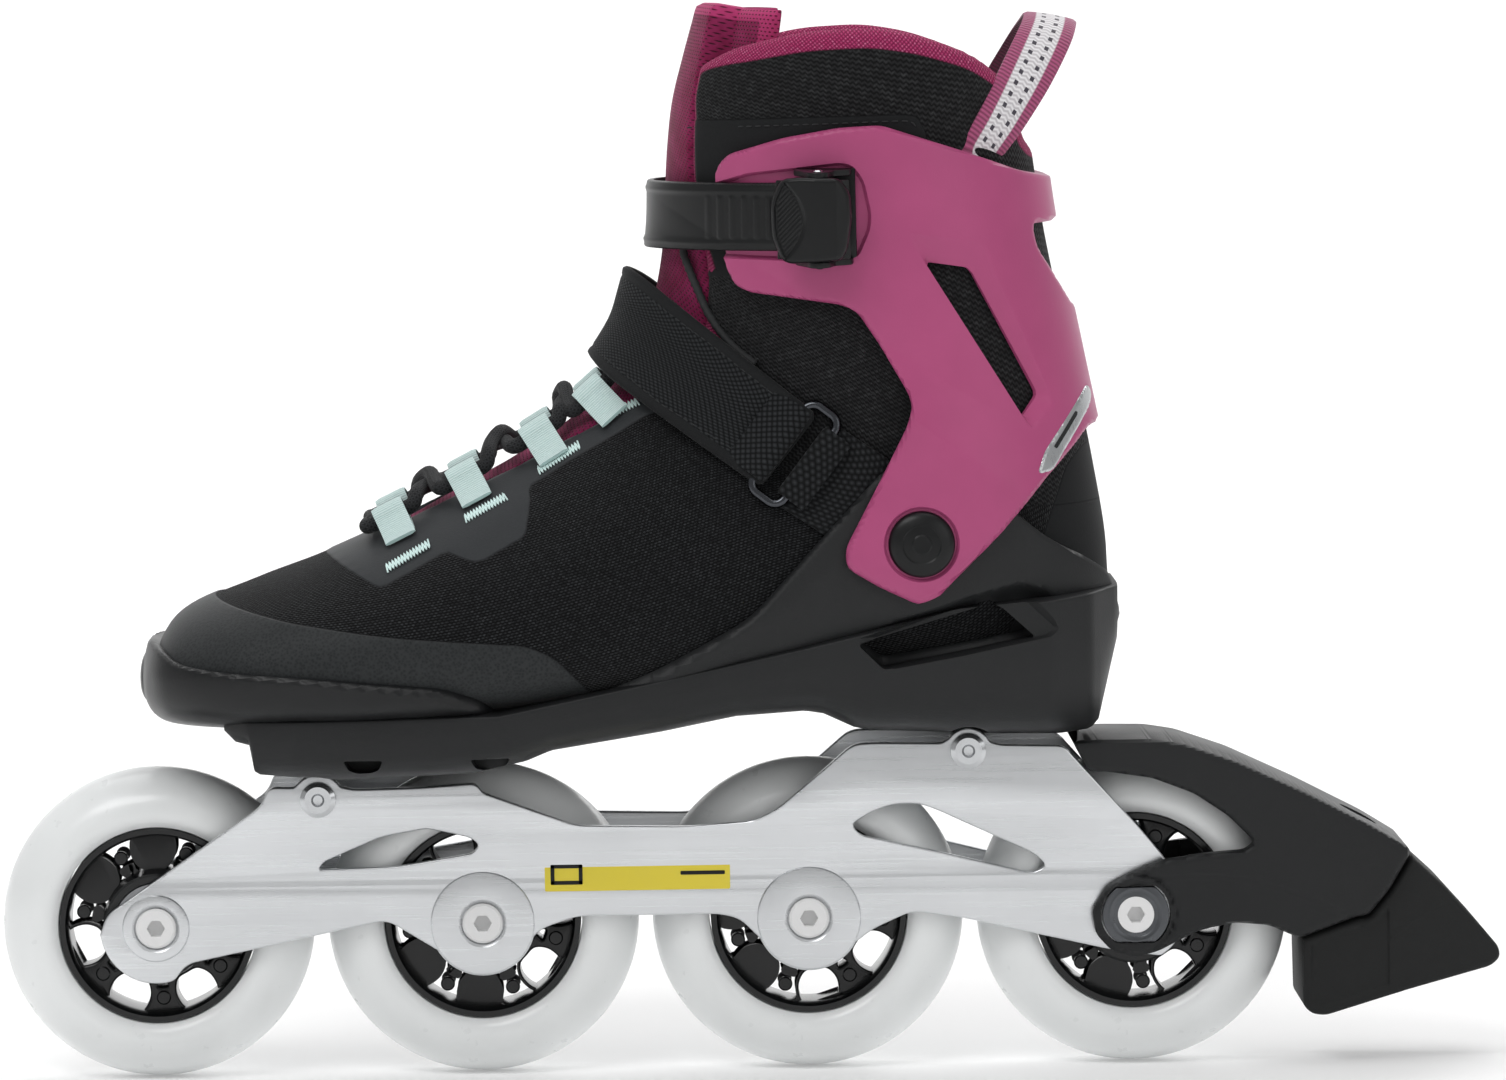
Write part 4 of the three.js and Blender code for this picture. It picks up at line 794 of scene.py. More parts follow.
def plastic(name, color, rough, grain=0.35, depth=0.03, tone=0.12, coat=0.0):
    """Moulded plastic with a fine texture, slight tone changes and worn, shinier spots."""
    m = Mat(name, color, rough, Coat_Weight=coat, Coat_Roughness=0.25, Specular_IOR_Level=0.3)
    fine = m.noise(m.obj(grain), 1.0, 2.0)
    wide = m.noise(m.obj(22), 1.0, 3.0)
    c = srgb(color)
    dark = tuple(x * (1 - tone) for x in c[:3]) + (1,)
    light = tuple(min(1, x * (1 + tone)) for x in c[:3]) + (1,)
    m.color(m.mix(m.map(wide, 0.3, 0.7), dark, light))
    m.rough(m.map(wide, 0.25, 0.75, rough - 0.05, rough + 0.07))
    m.bump(fine, depth)
    return m


def metal_mat(name, color, rough, brushed=None, depth=0.004):
    m = Mat(name, color, rough, 1.0)
    if brushed:
        n = m.noise(m.obj(1.0, brushed), 1.0, 4.0, 0.7)
        m.bump(n, depth)
        m.rough(m.map(n, 0.3, 0.7, rough - 0.07, rough + 0.1))
        wide = m.noise(m.obj(30), 1.0, 3.0)
        c = srgb(color)
        m.color(m.mix(m.map(wide, 0.3, 0.7), tuple(x * 0.93 for x in c[:3]) + (1,), c))
    else:
        n = m.noise(m.obj(4), 1.0, 4.0)
        m.rough(m.map(n, 0.3, 0.7, rough * 0.8, rough * 1.3))
    return m


M = {}
M["shell"] = plastic("shell_plastic", "1e1f20", 0.5, 0.5, 0.05, 0.1).mat
M["bumper"] = plastic("bumper_plastic", "191a1b", 0.36, 0.9, 0.03, 0.1).mat
M["brake"] = plastic("brake_plastic", "1c1d1e", 0.46, 0.45, 0.05, 0.1).mat
M["black"] = plastic("black_nylon", "0e0f10", 0.33, 0.6, 0.015, 0.1).mat
M["strap_plastic"] = plastic("strap_plastic", "101112", 0.36, 0.5, 0.012, 0.1).mat
M["pad"] = plastic("pad_rubber", "191a1a", 0.66, 0.4, 0.09, 0.15).mat
M["hub"] = plastic("hub_plastic", "0f1011", 0.22, 1.2, 0.006, 0.08, coat=0.3).mat
M["chrome"] = metal_mat("bright_steel", "c9cbcd", 0.16).mat
M["dark_chrome"] = metal_mat("dark_chrome", "4a4c50", 0.2).mat
M["steel"] = metal_mat("ground_steel", "a8aaad", 0.32).mat
# ---- wheels ----
def tyre_profile():
    half = [(25.4, 10.2), (27.2, 11.6), (29.5, 12.0), (32.5, 11.2), (35.2, 9.4), (37.5, 6.9),
            (39.1, 4.1), (39.9, 1.4), (40, 0)]
    top = flow(half, 5)
    low = [(r, -y) for r, y in top[::-1][1:]]
    return [tuple(p) for p in top] + low


def hub_windows():
    """Seven rounded windows, seven small rounded triangles and seven round bumps."""
    windows, small, bumps = [], [], []
    for k in range(7):
        a = 2 * PI * (k + 0.5) / 7
        shape = [(15.2, -3.0), (18.4, -5.0), (22.6, -4.4), (23.1, 0), (22.6, 4.4), (18.4, 5.0),
                 (15.2, 3.0), (14.8, 0)]
        line = flow(shape, 5, True)
        windows.append([(r * math.cos(a) - t * math.sin(a), r * math.sin(a) + t * math.cos(a))
                        for r, t in line])
        b = 2 * PI * k / 7
        tri_ = soft([(13.6, 0), (16.2, -1.5), (16.2, 1.5)], 0.7, 3)
        small.append([(r * math.cos(b) - t * math.sin(b), r * math.sin(b) + t * math.cos(b))
                      for r, t in tri_])
        bumps.append((19.3 * math.cos(b), 19.3 * math.sin(b)))
    return windows, small, bumps


def ring_outline(r, n=112):
    return [(r * math.cos(2 * PI * k / n), r * math.sin(2 * PI * k / n)) for k in range(n)]


def build_hub():
    windows, small, bumps = hub_windows()
    disc = plate("hub_disc", ring_outline(23.7), windows + small + [ring_outline(12.9, 64)],
                 -5.2, 5.2, 0.9, 3)
    rim = lathe("hub_rim", 0, 0, [(23.0, -8.6), (23.6, -9.7), (24.9, -9.7), (25.1, -9.3),
                                  (25.1, 9.3),
                                  (24.9, 9.7), (23.6, 9.7), (23.0, 8.6), (22.7, 5.0), (22.7, -5.0)],
                112)
    seat = lathe("hub_seat", 0, 0, [(11.35, -11.4), (12.9, -11.4), (13.5, -10.8), (14.2, -5),
                                    (14.2, 5),
                                    (13.5, 10.8), (12.9, 11.4), (11.35, 11.4)], 80)
    parts = [disc, rim, seat]
    for x, z in bumps:
        for way in (-1, 1):
            y = 5.2 * way
            prof = [(0, y - way * 0.5), (1.85, y - way * 0.5), (1.85, y + way * 0.25),
                    (1.5, y + way * 0.55),
                    (0, y + way * 0.6)]
            parts.append(lathe("bump", x, z, prof, 20))
    return joined("hub_mesh", parts)


def build_bearing(way):
    y0, y1 = (5.2, 11.9) if way > 0 else (-11.9, -5.2)
    out = y1 if way > 0 else y0
    inn = y0 if way > 0 else y1
    race = lathe("race", 0, 0, [(9.6, y0), (11.0, y0 + 0.3), (11.0, y1 - 0.3), (9.6, y1)], 64)
    shield = lathe("shield", 0, 0, [(6.0, inn), (9.7, inn), (9.7, out - way * 0.5),
                                    (9.2, out - way * 0.3),
                                    (6.5, out - way * 0.3), (6.0, out - way * 0.5)], 64)
    bore = lathe("bore", 0, 0, [(4.2, y0), (6.1, y0), (6.1, y1), (4.2, y1)], 48)
    race.data.materials.append(M["steel"])
    bore.data.materials.append(M["steel"])
    shield.data.materials.append(M["hub"])
    return joined("bearing_mesh", [race, shield, bore])


def ridden(name, data, body, at, nodes, mat=None, turn=0.0):
    o = bpy.data.objects.new(name, data)
    put(o)
    if mat is not None and not data.materials:
        data.materials.append(mat)
    o.location = Vector(np.array(at) * 0.001)
    if turn:
        o.rotation_euler = (0, turn, 0)
    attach(o, body)
    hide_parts(*nodes)
    return o


def recentre(obj):
    """Moves the vertices so that the drawing frame's zero is the object's origin."""
    obj.data.transform(Matrix.Translation(-Vector(SHIFT * 0.001)))
    return obj.data


def axle_mesh(face):
    end = face + 1.5
    head = [(0, -end + 0.25), (3.0, -end), (4.55, -end), (5.1, -end + 0.55), (5.1, -face),
            (3.9, -face),
            (3.9, face), (5.1, face), (5.1, end - 0.55), (4.55, end), (0, end)]
    o = lathe("axle", 0, 0, head, 72)
    hexa = [(2.35 * math.cos(PI * k / 3), 2.35 * math.sin(PI * k / 3)) for k in range(6)]
    cut(o, [prism("hex", hexa, -end - 2, -end + 3)])
    shade(o.data, 25)
    return o


tyre_data = recentre(lathe("tyre_mesh", 0, 0, tyre_profile(), 160, 0, 180))
hub_data = recentre(build_hub())
bearing_out = recentre(build_bearing(-1))
bearing_in = recentre(build_bearing(1))
axle_data = recentre(axle_mesh(14.8))
axle_rear = recentre(axle_mesh(17.9))
for o in [o for o in bpy.data.objects if o.name.split(".")[0] in
          ("tyre_mesh", "hub_mesh", "bearing_mesh", "axle")]:
    bpy.data.objects.remove(o)


def tyre_mat():
    m = Mat("cast_urethane", "e9eaea", 0.3, Subsurface_Weight=0.55, Coat_Weight=0.25,
            Coat_Roughness=0.12, Specular_IOR_Level=0.5)
    m.b.inputs["Subsurface Radius"].default_value = (1, 1, 1)
    m.b.inputs["Subsurface Scale"].default_value = 0.006
    wide = m.noise(m.obj(30), 1.0, 2.0)
    m.color(m.mix(m.map(wide, 0.3, 0.7), "e6e8e8", "eef0f0"))
    m.rough(m.map(m.noise(m.obj(5), 1.0, 4.0), 0.3, 0.7, 0.27, 0.33))
    m.bump(m.noise(m.obj(0.8), 1.0, 2.0), 0.006)
    return m.mat


M["tyre"] = tyre_mat()
for i, ax in enumerate(AXLES):
    n = "wheel_%d" % (i + 1)
    at = np.array([ax, 0, WHEEL_R]) + SHIFT
    turn_ = -math.radians((118.7, 240.7, 200, 226)[i])
    ridden(n + "_tyre_cast", tyre_data, n, at, [n + "_tyre"], M["tyre"])
    ridden(n + "_hub_moulded", hub_data, n, at, [n + "_hub"], M["hub"], turn_)
    ridden(n + "_bearing_out", bearing_out, n, at, [n + "_bearing_outer"], None)
    ridden(n + "_bearing_in", bearing_in, n, at, [n + "_bearing_inner"], None)
    ridden(n + "_axle_bolt", axle_rear if i == 3 else axle_data, "chassis", at, [n + "_axle"],
           M["chrome"])


def box(x0, x1, z0, z1, radius, steps):
    """A rounded rectangle in the side view."""
    return soft([(x0, z0), (x1, z0), (x1, z1), (x0, z1)], radius, steps)


def ride(obj, body, nodes=(), mat=None):
    if mat is not None:
        obj.data.materials.clear()
        obj.data.materials.append(mat)
    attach(obj, body)
    if nodes:
        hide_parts(*nodes)
    return obj


def arc(cx, cz, r, a0, a1, n=10):
    t = np.radians(np.linspace(a0, a1, n))
    return [(cx + r * math.cos(k), cz + r * math.sin(k)) for k in t]


# ---- frame ----
EAR_F, EAR_R = (-83.1, 72.8), (82.9, 82.8)
RAIL_TOP = (
    [(-139.6, 38.5), (-137.8, 43.6), (-126.8, 51.1), (-97.6, 71.4), (-95.8, 76.2), (-89.2, 76.0)]
    + arc(*EAR_F, 6.6, 140, 30) + [(-74, 75.3), (-58, 75.5), (-43, 76.4), (-41.2, 74)]
    + [(-17.4, 65), (10.4, 64.3), (28, 65.5), (33.7, 68.3), (43.1, 76), (53.4, 84.9), (58.8, 85.2),
       (76, 84.8)]
    + arc(*EAR_R, 5.9, 148, 22) + [(91, 84.2), (107.4, 83.7), (110.4, 80.2), (126, 62.7),
                                   (133.4, 53.6)]
)
RAIL_LOW = (
    arc(125.25, 40, 13, 28, -60, 10) + [(118.6, 30.6), (81.5, 39.3), (68.3, 41.4), (58.1, 36.9)]
    + arc(41.75, 40, 12.6, -40, -140, 12) + [(24, 40.1), (18.6, 41.4), (-17.7, 41.4), (-27.5, 38)]
    + arc(-41.75, 40, 12.6, -40, -140, 12) + [(-66.3, 41.2), (-117.6, 30.6)]
    + arc(-125.25, 40, 14.3, -72, -172, 12)
)
RAIL = soft(RAIL_TOP + RAIL_LOW, 3.0, 5)
WINDOW_A = soft([(-83.6, 54.4), (-81.9, 56.5), (-67.3, 62.8), (-55.6, 64.9), (-44.6, 62.3),
                 (-42.2, 60.2),
                 (-44.2, 58), (-62.9, 55)], 2.0, 5)
WINDOW_B = soft([(52.8, 64.2), (58.6, 67.7), (64, 69.4), (70.3, 69.3), (74.6, 67.7), (99.6, 55.7),
                 (102.9, 52.4), (98.8, 50.7), (74, 56.9), (55, 61.3)], 2.2, 5)


def rail(way):
    holes = [WINDOW_A, WINDOW_B] + [arc(x, WHEEL_R, 5.5, 0, 354, 60) for x in AXLES]
    o = plate("rail", RAIL, holes, 12.9, 15.5, 0.55, 3)
    bm = bmesh.new()
    bm.from_mesh(o.data)
    for z in (50, 52, 54, 56, 58, 61, 64, 67, 69, 71, 73):
        geom = bm.verts[:] + bm.edges[:] + bm.faces[:]
        bmesh.ops.bisect_plane(bm, geom=geom, plane_co=(0, 0, z * 0.001), plane_no=(0, 0, 1))
    for v in bm.verts:
        v.co.y += 0.003 * float(ramp(v.co.z * 1000, 51, 72))
        v.co.y = SHIFT[1] * 0.001 + (v.co.y - SHIFT[1] * 0.001) * way
    bmesh.ops.recalc_face_normals(bm, faces=bm.faces)
    bm.to_mesh(o.data)
    bm.free()
    shade(o.data, 25)
    parts = [o]
    for k, x in enumerate(AXLES):
        r = 13.0 if k in (1, 2) else 8.3
        if k != 3:
            face = 16.0 * way
            base = 15.3 * way
            prof = [(5.4, base), (r + 0.5, base), (r, face - 0.12 * way), (r - 0.5, face),
                    (6.2, face),
                    (5.6, face - 0.4 * way)]
            parts.append(lathe("pad", x, WHEEL_R, prof, 72, 0, 25))
        prof = [(4.4, 12.3 * way), (8.5, 12.3 * way), (8.5, 13.2 * way), (4.4, 13.2 * way)]
        parts.append(lathe("seat", x, WHEEL_R, prof, 40))
        prof = [(4.2, 13.0 * way), (5.7, 13.0 * way), (5.7, 14.4 * way), (4.2, 14.4 * way)]
        parts.append(lathe("floor", x, WHEEL_R, prof, 40))
    return parts


def chassis_frame():
    parts = rail(-1) + rail(1)
    for x0, x1, z0, z1 in ((-92, -74, 61.5, 66.5), (64, 102, 73.5, 77.5)):
        parts.append(plate("bridge", box(x0, x1, z0, z1, 1.2, 4), [], -15, 15, 0.3))
    return joined("frame_rails", parts)


M["frame"] = metal_mat("brushed_aluminium", "dfe1e3", 0.3, (0.022, 1.2, 1.6), 0.012).mat
ride(chassis_frame(), "chassis", ["frame"], M["frame"])


def label_mat():
    m = Mat("label_film", "e3cf2c", 0.35, Coat_Weight=0.4)
    m.bump(m.noise(m.obj(3), 1.0, 2.0), 0.02)
    m.rough(m.map(m.noise(m.obj(6), 1.0, 3.0), 0.3, 0.7, 0.28, 0.42))
    return m.mat


label = plate("frame_label", box(-25.7, 21.7, 47.9, 56.6, 0.5, 3), [],
              -15.68, -15.4, 0.05, 1)
M["label"] = label_mat()
ride(label, "chassis", (), M["label"])
bars = [plate("bar", box(x0, x1, z0, z1, 0.3, 2), [], -15.76, -15.6, 0.03, 1)
        for x0, x1, z0, z1 in ((-24.2, -16, 49.6, 50.6), (-24.2, -16, 53.8, 54.8),
                               (-24.2, -23.2, 49.6, 54.8),
                               (-17, -16, 49.6, 54.8), (9, 20.4, 51.7, 52.7))]
marks = joined("frame_label_bars", bars)
ride(marks, "chassis", (), M["black"])


def rivet(name, x, z, node):
    f = 18.7
    prof = [(0, -f - 0.9), (1.2, -f - 0.95), (1.7, -f - 1.5), (3.4, -f - 1.5), (4.5, -f - 0.9),
            (4.6, -f),
            (3, -f), (3, f), (4.6, f), (4.5, f + 0.9), (3.4, f + 1.5), (0, f + 1.6)]
    o = lathe(name, x, z, prof, 64, 0, 25)
    ride(o, "chassis", [node], M["chrome"])


rivet("cross_rivet_front", *EAR_F, "rivet_front")
rivet("cross_rivet_rear", *EAR_R, "rivet_rear")

# ---- shell ----
SHELL_EDGE = soft([
    (-33.6, 60), (150, 60), (150, 109), (124.6, 113.6), (121.8, 122.8), (120.1, 128.4),
    (114.4, 132.4),
    (103, 138.4), (92, 148), (84, 156), (62.7, 157.6), (47.3, 141), (27.7, 119), (4.7, 105.3),
    (-9.4, 98.8), (-26.1, 92.6), (-33.6, 91.4)], 5)
HEEL_BEVEL = soft([(51, 113.5), (82, 124), (95.9, 127.5), (102.8, 124.8), (112.7, 115.5),
                   (108.4, 113.2),
                   (60.4, 104.7)], 1.5)
HEEL_HOLE = soft([(54.5, 112.3), (88.3, 122.1), (91.2, 120.9), (99.5, 113.3), (61, 105.8)], 1.2)


def shell_side():
    def region(x, y, z, s, a):
        d = sd(SHELL_EDGE, x, z)
        hole = -sd(HEEL_HOLE, x, z)
        return np.where(np.abs(y) > 18, np.minimum(d, hole), d)

    def top(x, y, z, s, a, d):
        h = 3.45 - edge_round(np.minimum(d, sd(SHELL_EDGE, x, z)), 1.3)
        bevel = sd(HEEL_BEVEL, x, z)
        lower = np.clip(bevel, 0, 3.2) * 0.75
        h = h - np.where(np.abs(y) > 18, lower, 0)
        crease, _ = line_far([(-20, 96.5), (14, 107), (40, 124), (58, 143)], x, z)
        h = h + 0.5 * np.exp(-(crease / 3.0) ** 2)
        return np.maximum(h, 0.9)

    def bottom(x, y, z, s, a, d):
        return np.full_like(x, 0.42)

    rows = even_rows(5.2, 13.6, 1.15)
    lines = [lambda x, y, z, s, a: sd(SHELL_EDGE, x, z) - 1.3,
             lambda x, y, z, s, a: sd(HEEL_BEVEL, x, z)]
    return field("shell_side", rows, 230, region, top, bottom, mean=SHELL_OUT, lines=lines)


def taper(outline, middle, share, y0, y1):
    """A solid that narrows from the outline at y1 to a share of it at y0."""
    pts = ccw(list(outline))
    n = len(pts)
    cx, cz = middle
    verts = [(cx + (x - cx) * share, y0, cz + (z - cz) * share) for x, z in pts]
    verts += [(x, y1, z) for x, z in pts]
    far = y1 + (y1 - y0) * 3
    verts += [(x, far, z) for x, z in pts]
    faces = [tuple(range(n)), tuple(reversed(range(2 * n, 3 * n)))]
    for k in (0, n):
        faces += [(k + i, k + (i + 1) % n, k + (i + 1) % n + n, k + i + n) for i in range(n)]
    return fix_normals(make("taper", verts, faces))


def shell_base():
    lowx = [(-106, 91), (-103.5, 88), (-99.6, 87.2), (-98.6, 79.9), (-97.5, 79.2), (-76.3, 77.7),
            (-41.9, 79.2),
            (-38.5, 80.2), (-29.8, 82), (-23.3, 84.7), (4.4, 88.8), (23.7, 92.4), (41.4, 93.3),
            (46, 92.5),
            (53.7, 88.8), (57.3, 88.0), (88.4, 86.4), (106.8, 86), (114.6, 86.9), (116.6, 89),
            (121.5, 109)]
    wide = [(-106, 30), (-100, 37), (-88, 41.5), (-60, 44), (-36, 45), (0, 43), (40, 39.6),
            (80, 39.6),
            (104, 38), (114, 31), (121.5, 17)]
    high = [(-106, 95.5), (-36, 97), (0, 104), (40, 112), (80, 121), (121.5, 125)]
    xs = np.unique(np.r_[np.arange(-106, 121.4, 1.3), -99.6, -98.6, -97.5, 46, 53.7, 116.6, 121.5])
    f = lambda t: np.interp(xs, [p[0] for p in t], [p[1] for p in t])
    low, half, top = f(lowx), f(wide), f(high)
    n = 96
    t = np.linspace(0, 2 * PI, n, endpoint=False)
    c, v = np.cos(t), np.sin(t)
    e = np.where(v > 0, 6.0, 3.4)
    bc = np.sign(c) * np.abs(c) ** (2 / e)
    bv = np.sign(v) * np.abs(v) ** (2 / e)
    verts, faces = [], []
    for k, x in enumerate(xs):
        reach = np.where(v > 0, 2.0, top[k] - low[k] - 2)
        y = half[k] * bc
        z = top[k] - 2 + reach * bv
        verts += list(zip(np.full(n, x), y, z))
    for k in range(len(xs) - 1):
        for j in range(n):
            i = (j + 1) % n
            faces.append((k * n + j, k * n + i, (k + 1) * n + i, (k + 1) * n + j))
    faces.append(tuple(range(n)))
    faces.append(tuple(reversed(range((len(xs) - 1) * n, len(xs) * n))))
    o = fix_normals(make("shell_base", verts, faces, 40))
    cutters = [loft("clear", (0.42, 0.42, 0.42), 0.02, 14, 2.5, 120)]
    for x, z in (EAR_F, EAR_R):
        cutters.append(rod("ear", x, z, 7.0, -60, -15, 48))
        cutters.append(rod("ear", x, z, 7.0, 15, 60, 48))
    for x0, x1 in ((-75.6, -65.6), (-43.6, -33.6)):
        for way in (-1, 1):
            slot = soft([(x0, 85), (x0 + 1.2, 82.2), (x0 + 3.4, 81.3), (x1 - 3.4, 81.3),
                         (x1 - 1.2, 82.2),
                         (x1, 85)], 0.8, 3)
            cutters.append(prism("slot", slot, *sorted((30 * way, 60 * way))))
    for x in AXLES:
        cutters.append(rod("well", x, WHEEL_R, WELL_R, -13.6, 13.6, 120))
    for way in (-1, 1):
        cutters.append(prism("window", HEEL_HOLE, *sorted((18 * way, 60 * way))))
        cutters.append(taper(HEEL_BEVEL, (82, 115), 0.74, 36.5 * way, 41.5 * way))
    cut(o, cutters)
    shade(o.data, 38)
    return o


base = shell_base()
shell = joined("shell_moulding", [shell_side(), base])
ride(shell, "chassis", ["shell"], M["shell"])

# ---- toe bumper ----
BUMPER = soft([
    (-140, 90.9), (-59.3, 90.7), (-35.4, 92.0), (-39.3, 97.4), (-50.8, 102.5), (-67.4, 104.6),
    (-83.9, 106.6), (-104.7, 107.9), (-118, 109.6), (-124, 113.2), (-140, 114.5)], 3)


def toe_bumper():
    def region(x, y, z, s, a):
        return sd(BUMPER, x, z)

    def top(x, y, z, s, a, d):
        return 3.5 - edge_round(d, 1.4)

    def bottom(x, y, z, s, a, d):
        return np.full_like(x, 0.3)

    rows = np.r_[np.linspace(-1, 0, 14)[:-1], even_rows(0, 8.6, 1.1)]
    return field("toe_bumper_moulding", rows, 230, region, top, bottom, mean=3.0,
                 lines=[lambda x, y, z, s, a: sd(BUMPER, x, z) - 1.4])


ride(toe_bumper(), "chassis", ["toe_bumper"], M["bumper"])


GRID_S, GRID_A = np.meshgrid(np.linspace(0, TOP, 145), np.linspace(-PI / 2, 1.5 * PI, 121),
                             indexing="ij")
GRID_P = skin(GRID_S, GRID_A)


def side_at(x, z, way):
    """Where the skin shows at (x, z) in the side view: place and angle. way is -1 outside."""
    ok = (GRID_P[..., 1] - table(GRID_S)[..., 5]) * way >= -0.01
    far = (GRID_P[..., 0] - x) ** 2 + (GRID_P[..., 2] - z) ** 2 + np.where(ok, 0, 1e6)
    i = np.unravel_index(np.argmin(far), far.shape)
    s, a = float(GRID_S[i]), float(GRID_A[i])
    for _ in range(6):
        p = skin(s, a)
        ds = (skin(s + 1e-3, a) - p)[[0, 2]] / 1e-3
        da = (skin(s, a + 1e-3) - p)[[0, 2]] / 1e-3
        j = np.stack([ds, da], 1)
        if abs(np.linalg.det(j)) < 1e-3:
            break
        step = np.linalg.solve(j, np.array([x, z]) - p[[0, 2]])
        s, a = s + float(np.clip(step[0], -0.3, 0.3)), a + float(np.clip(step[1], -0.2, 0.2))
    return s, a


def lifted(s, a, rise):
    s, a = np.atleast_1d(np.asarray(s, float)), np.atleast_1d(np.asarray(a, float))
    n = normals(s, a, [np.zeros(len(s))] * 3)
    return skin(s, a) + n * np.asarray(rise, float).reshape(-1, 1)


def on_side(points, way, rise):
    """The side-view points on the skin, raised."""
    sa = [side_at(x, z, way) for x, z in points]
    rises = np.broadcast_to(rise, (len(sa),))
    return lifted([k[0] for k in sa], [k[1] for k in sa], rises)


def axes_at(s, a):
    """A point of the skin with its directions along the boot, across and out."""
    p = lifted(s, a, 0)[0]
    out = normals(np.array([s]), np.array([a]), [np.zeros(1)] * 3)[0]
    run = skin(s + 0.05, a) - skin(s - 0.05, a)
    run = run - out * (run @ out)
    run /= np.linalg.norm(run)
    return p, run, np.cross(out, run), out


def even(path, step):
    """A line cut into pieces of about one length."""
    p = np.asarray(path, float)
    far = np.r_[0, np.cumsum(np.linalg.norm(np.diff(p, axis=0), axis=1))]
    n = max(2, int(round(far[-1] / step)) + 1)
    at = np.linspace(0, far[-1], n)
    return np.stack([np.interp(at, far, p[:, k]) for k in range(p.shape[1])], 1)


def thread(name, path, long_, gap, r, mat):
    """A row of stitches along a line of points."""
    p = np.asarray(path, float)
    far = np.r_[0, np.cumsum(np.linalg.norm(np.diff(p, axis=0), axis=1))]
    at = np.arange(0, far[-1] - long_, long_ + gap)
    parts = []
    for k in at:
        t = k + long_ * np.array([0, 0.12, 0.35, 0.65, 0.88, 1])
        q = np.stack([np.interp(t, far, p[:, j]) for j in range(3)], 1)
        parts.append((q, r * np.array([0.25, 0.8, 1, 1, 0.8, 0.25])))
    verts, faces = [], []
    for q, rad in parts:
        run = q[-1] - q[0]
        run /= np.linalg.norm(run) + 1e-9
        u = np.cross(run, [0.1, 0.3, 1.0])
        u /= np.linalg.norm(u)
        v = np.cross(run, u)
        first = len(verts)
        for c, rr in zip(q, rad):
            for j in range(6):
                b = 2 * PI * j / 6
                verts.append(c + (u * math.cos(b) + v * math.sin(b)) * rr)
        for i in range(5):
            for j in range(6):
                m = (j + 1) % 6
                faces.append((first + i * 6 + j, first + i * 6 + m, first + i * 6 + 6 + m,
                              first + i * 6 + 6 + j))
        faces.append(tuple(first + j for j in range(6)))
        faces.append(tuple(first + 30 + j for j in reversed(range(6))))
    o = fix_normals(make(name, verts, faces, 180))
    o.data.materials.append(mat)
    return o


M["thread"] = plastic("black_thread", "2a2b2c", 0.7, 0.3, 0.03, 0.2).mat
M["mint_thread"] = plastic("mint_thread", "d5ece9", 0.75, 0.3, 0.03, 0.1).mat

# ---- soft boot: foot and leg in one upper ----
THROAT_HALF = [(-66, 7), (-56, 11), (-35, 14), (-8, 18), (8, 21), (26, 21)]
THROAT = soft([(x, -y) for x, y in THROAT_HALF] + [(x, y) for x, y in THROAT_HALF[::-1]], 4, 4)
COLLAR_EDGE = [(-150, 249.5), (12.6, 249.5), (13.8, 254), (17, 258.7), (24.6, 263.2), (43.1, 266.7),
               (59.9, 267.4),
               (72.5, 265.4), (85.1, 261.1), (94.6, 253.8), (98, 248), (100.8, 236), (150, 236),
               (150, 60),
               (-150, 60)]
COLLAR_EDGE = soft(COLLAR_EDGE, 5, 4)
RAND = soft([(-150, 126), (-111.2, 124.1), (-87.7, 119.3), (-60, 116.2), (-29, 114.1), (-22, 111),
             (-10.4, 98.9),
             (0, 60), (-150, 60)], 3)
FILM = soft([(-84, 150), (-82.3, 134.7), (-79.1, 134.2), (-66.2, 128.1), (-64.4, 128.3),
             (-48.5, 136.8),
             (-45.4, 135.3), (-40.5, 134.0), (-28.6, 140.6), (-27.2, 149.1), (-27.8, 152),
             (1.9, 169.4), (12, 174),
             (12, 230), (-60, 230)], 1.5)
PATCH = soft([(12.7, 150), (12.7, 244.4), (40, 245.1), (66.6, 245.6), (70.8, 245.2), (73.2, 240.7),
              (73, 150)], 1.2)
HEEL_PATCH = soft([(108, 156), (113, 160.8), (150, 160.8), (150, 100), (88, 100)], 2)


def wall_at(s):
    return table(np.maximum(s, 0))[..., 9]


def boot_region(x, y, z, s, a):
    d = sd(COLLAR_EDGE, x, z)
    hole = sd(THROAT, x, y)
    return np.where((z > 120) & (x < 60), np.minimum(d, -hole), d)


def knit_side(x, z):
    """Positive on the leg side of the seam between the vamp's mesh and the collar's knit."""
    return sd(soft([(-60, 222), (10, 178), (44, 150), (56, 146), (150, 146), (150, 300),
                    (-60, 300)], 3), x, z)


def boot_top(x, y, z, s, a, d):
    w = wall_at(s)
    r = np.minimum(w * 0.48, 1.2 + 2.4 * ramp(s, 9, 13))
    h = -edge_round(d, r)
    h = h + 0.45 * ramp(sd(RAND, x, z), -0.3, 0.3) * (s < 9.5)
    h = h + 0.25 * ramp(sd(FILM, x, z), -0.2, 0.2) * ramp(z, 120, 128) * (s < 9.2)
    p = sd(PATCH, x, z)
    h = h + 0.35 * ramp(p, -0.3, 0.3) * (z > 205)
    rise = ramp(z, 244, 252) * (1 - ramp(z, 258, 268)) * (x < 100)
    h = h + 1.0 * rise
    wave = 0.22 * np.sin(x * 0.21 + 1.1 * np.sin(z * 0.11))
    wave = wave * np.sin(z * 0.17 + 0.9 * np.sin(x * 0.07))
    return h + wave * (1 - ramp(s, 11, 12.5) * (1 - ramp(z, 243, 250)))


def boot_bottom(x, y, z, s, a, d):
    w = wall_at(s) * ramp(s, -1.2, 1.5)
    r = np.minimum(w * 0.48, 3.4)
    return -w + edge_round(d, r)


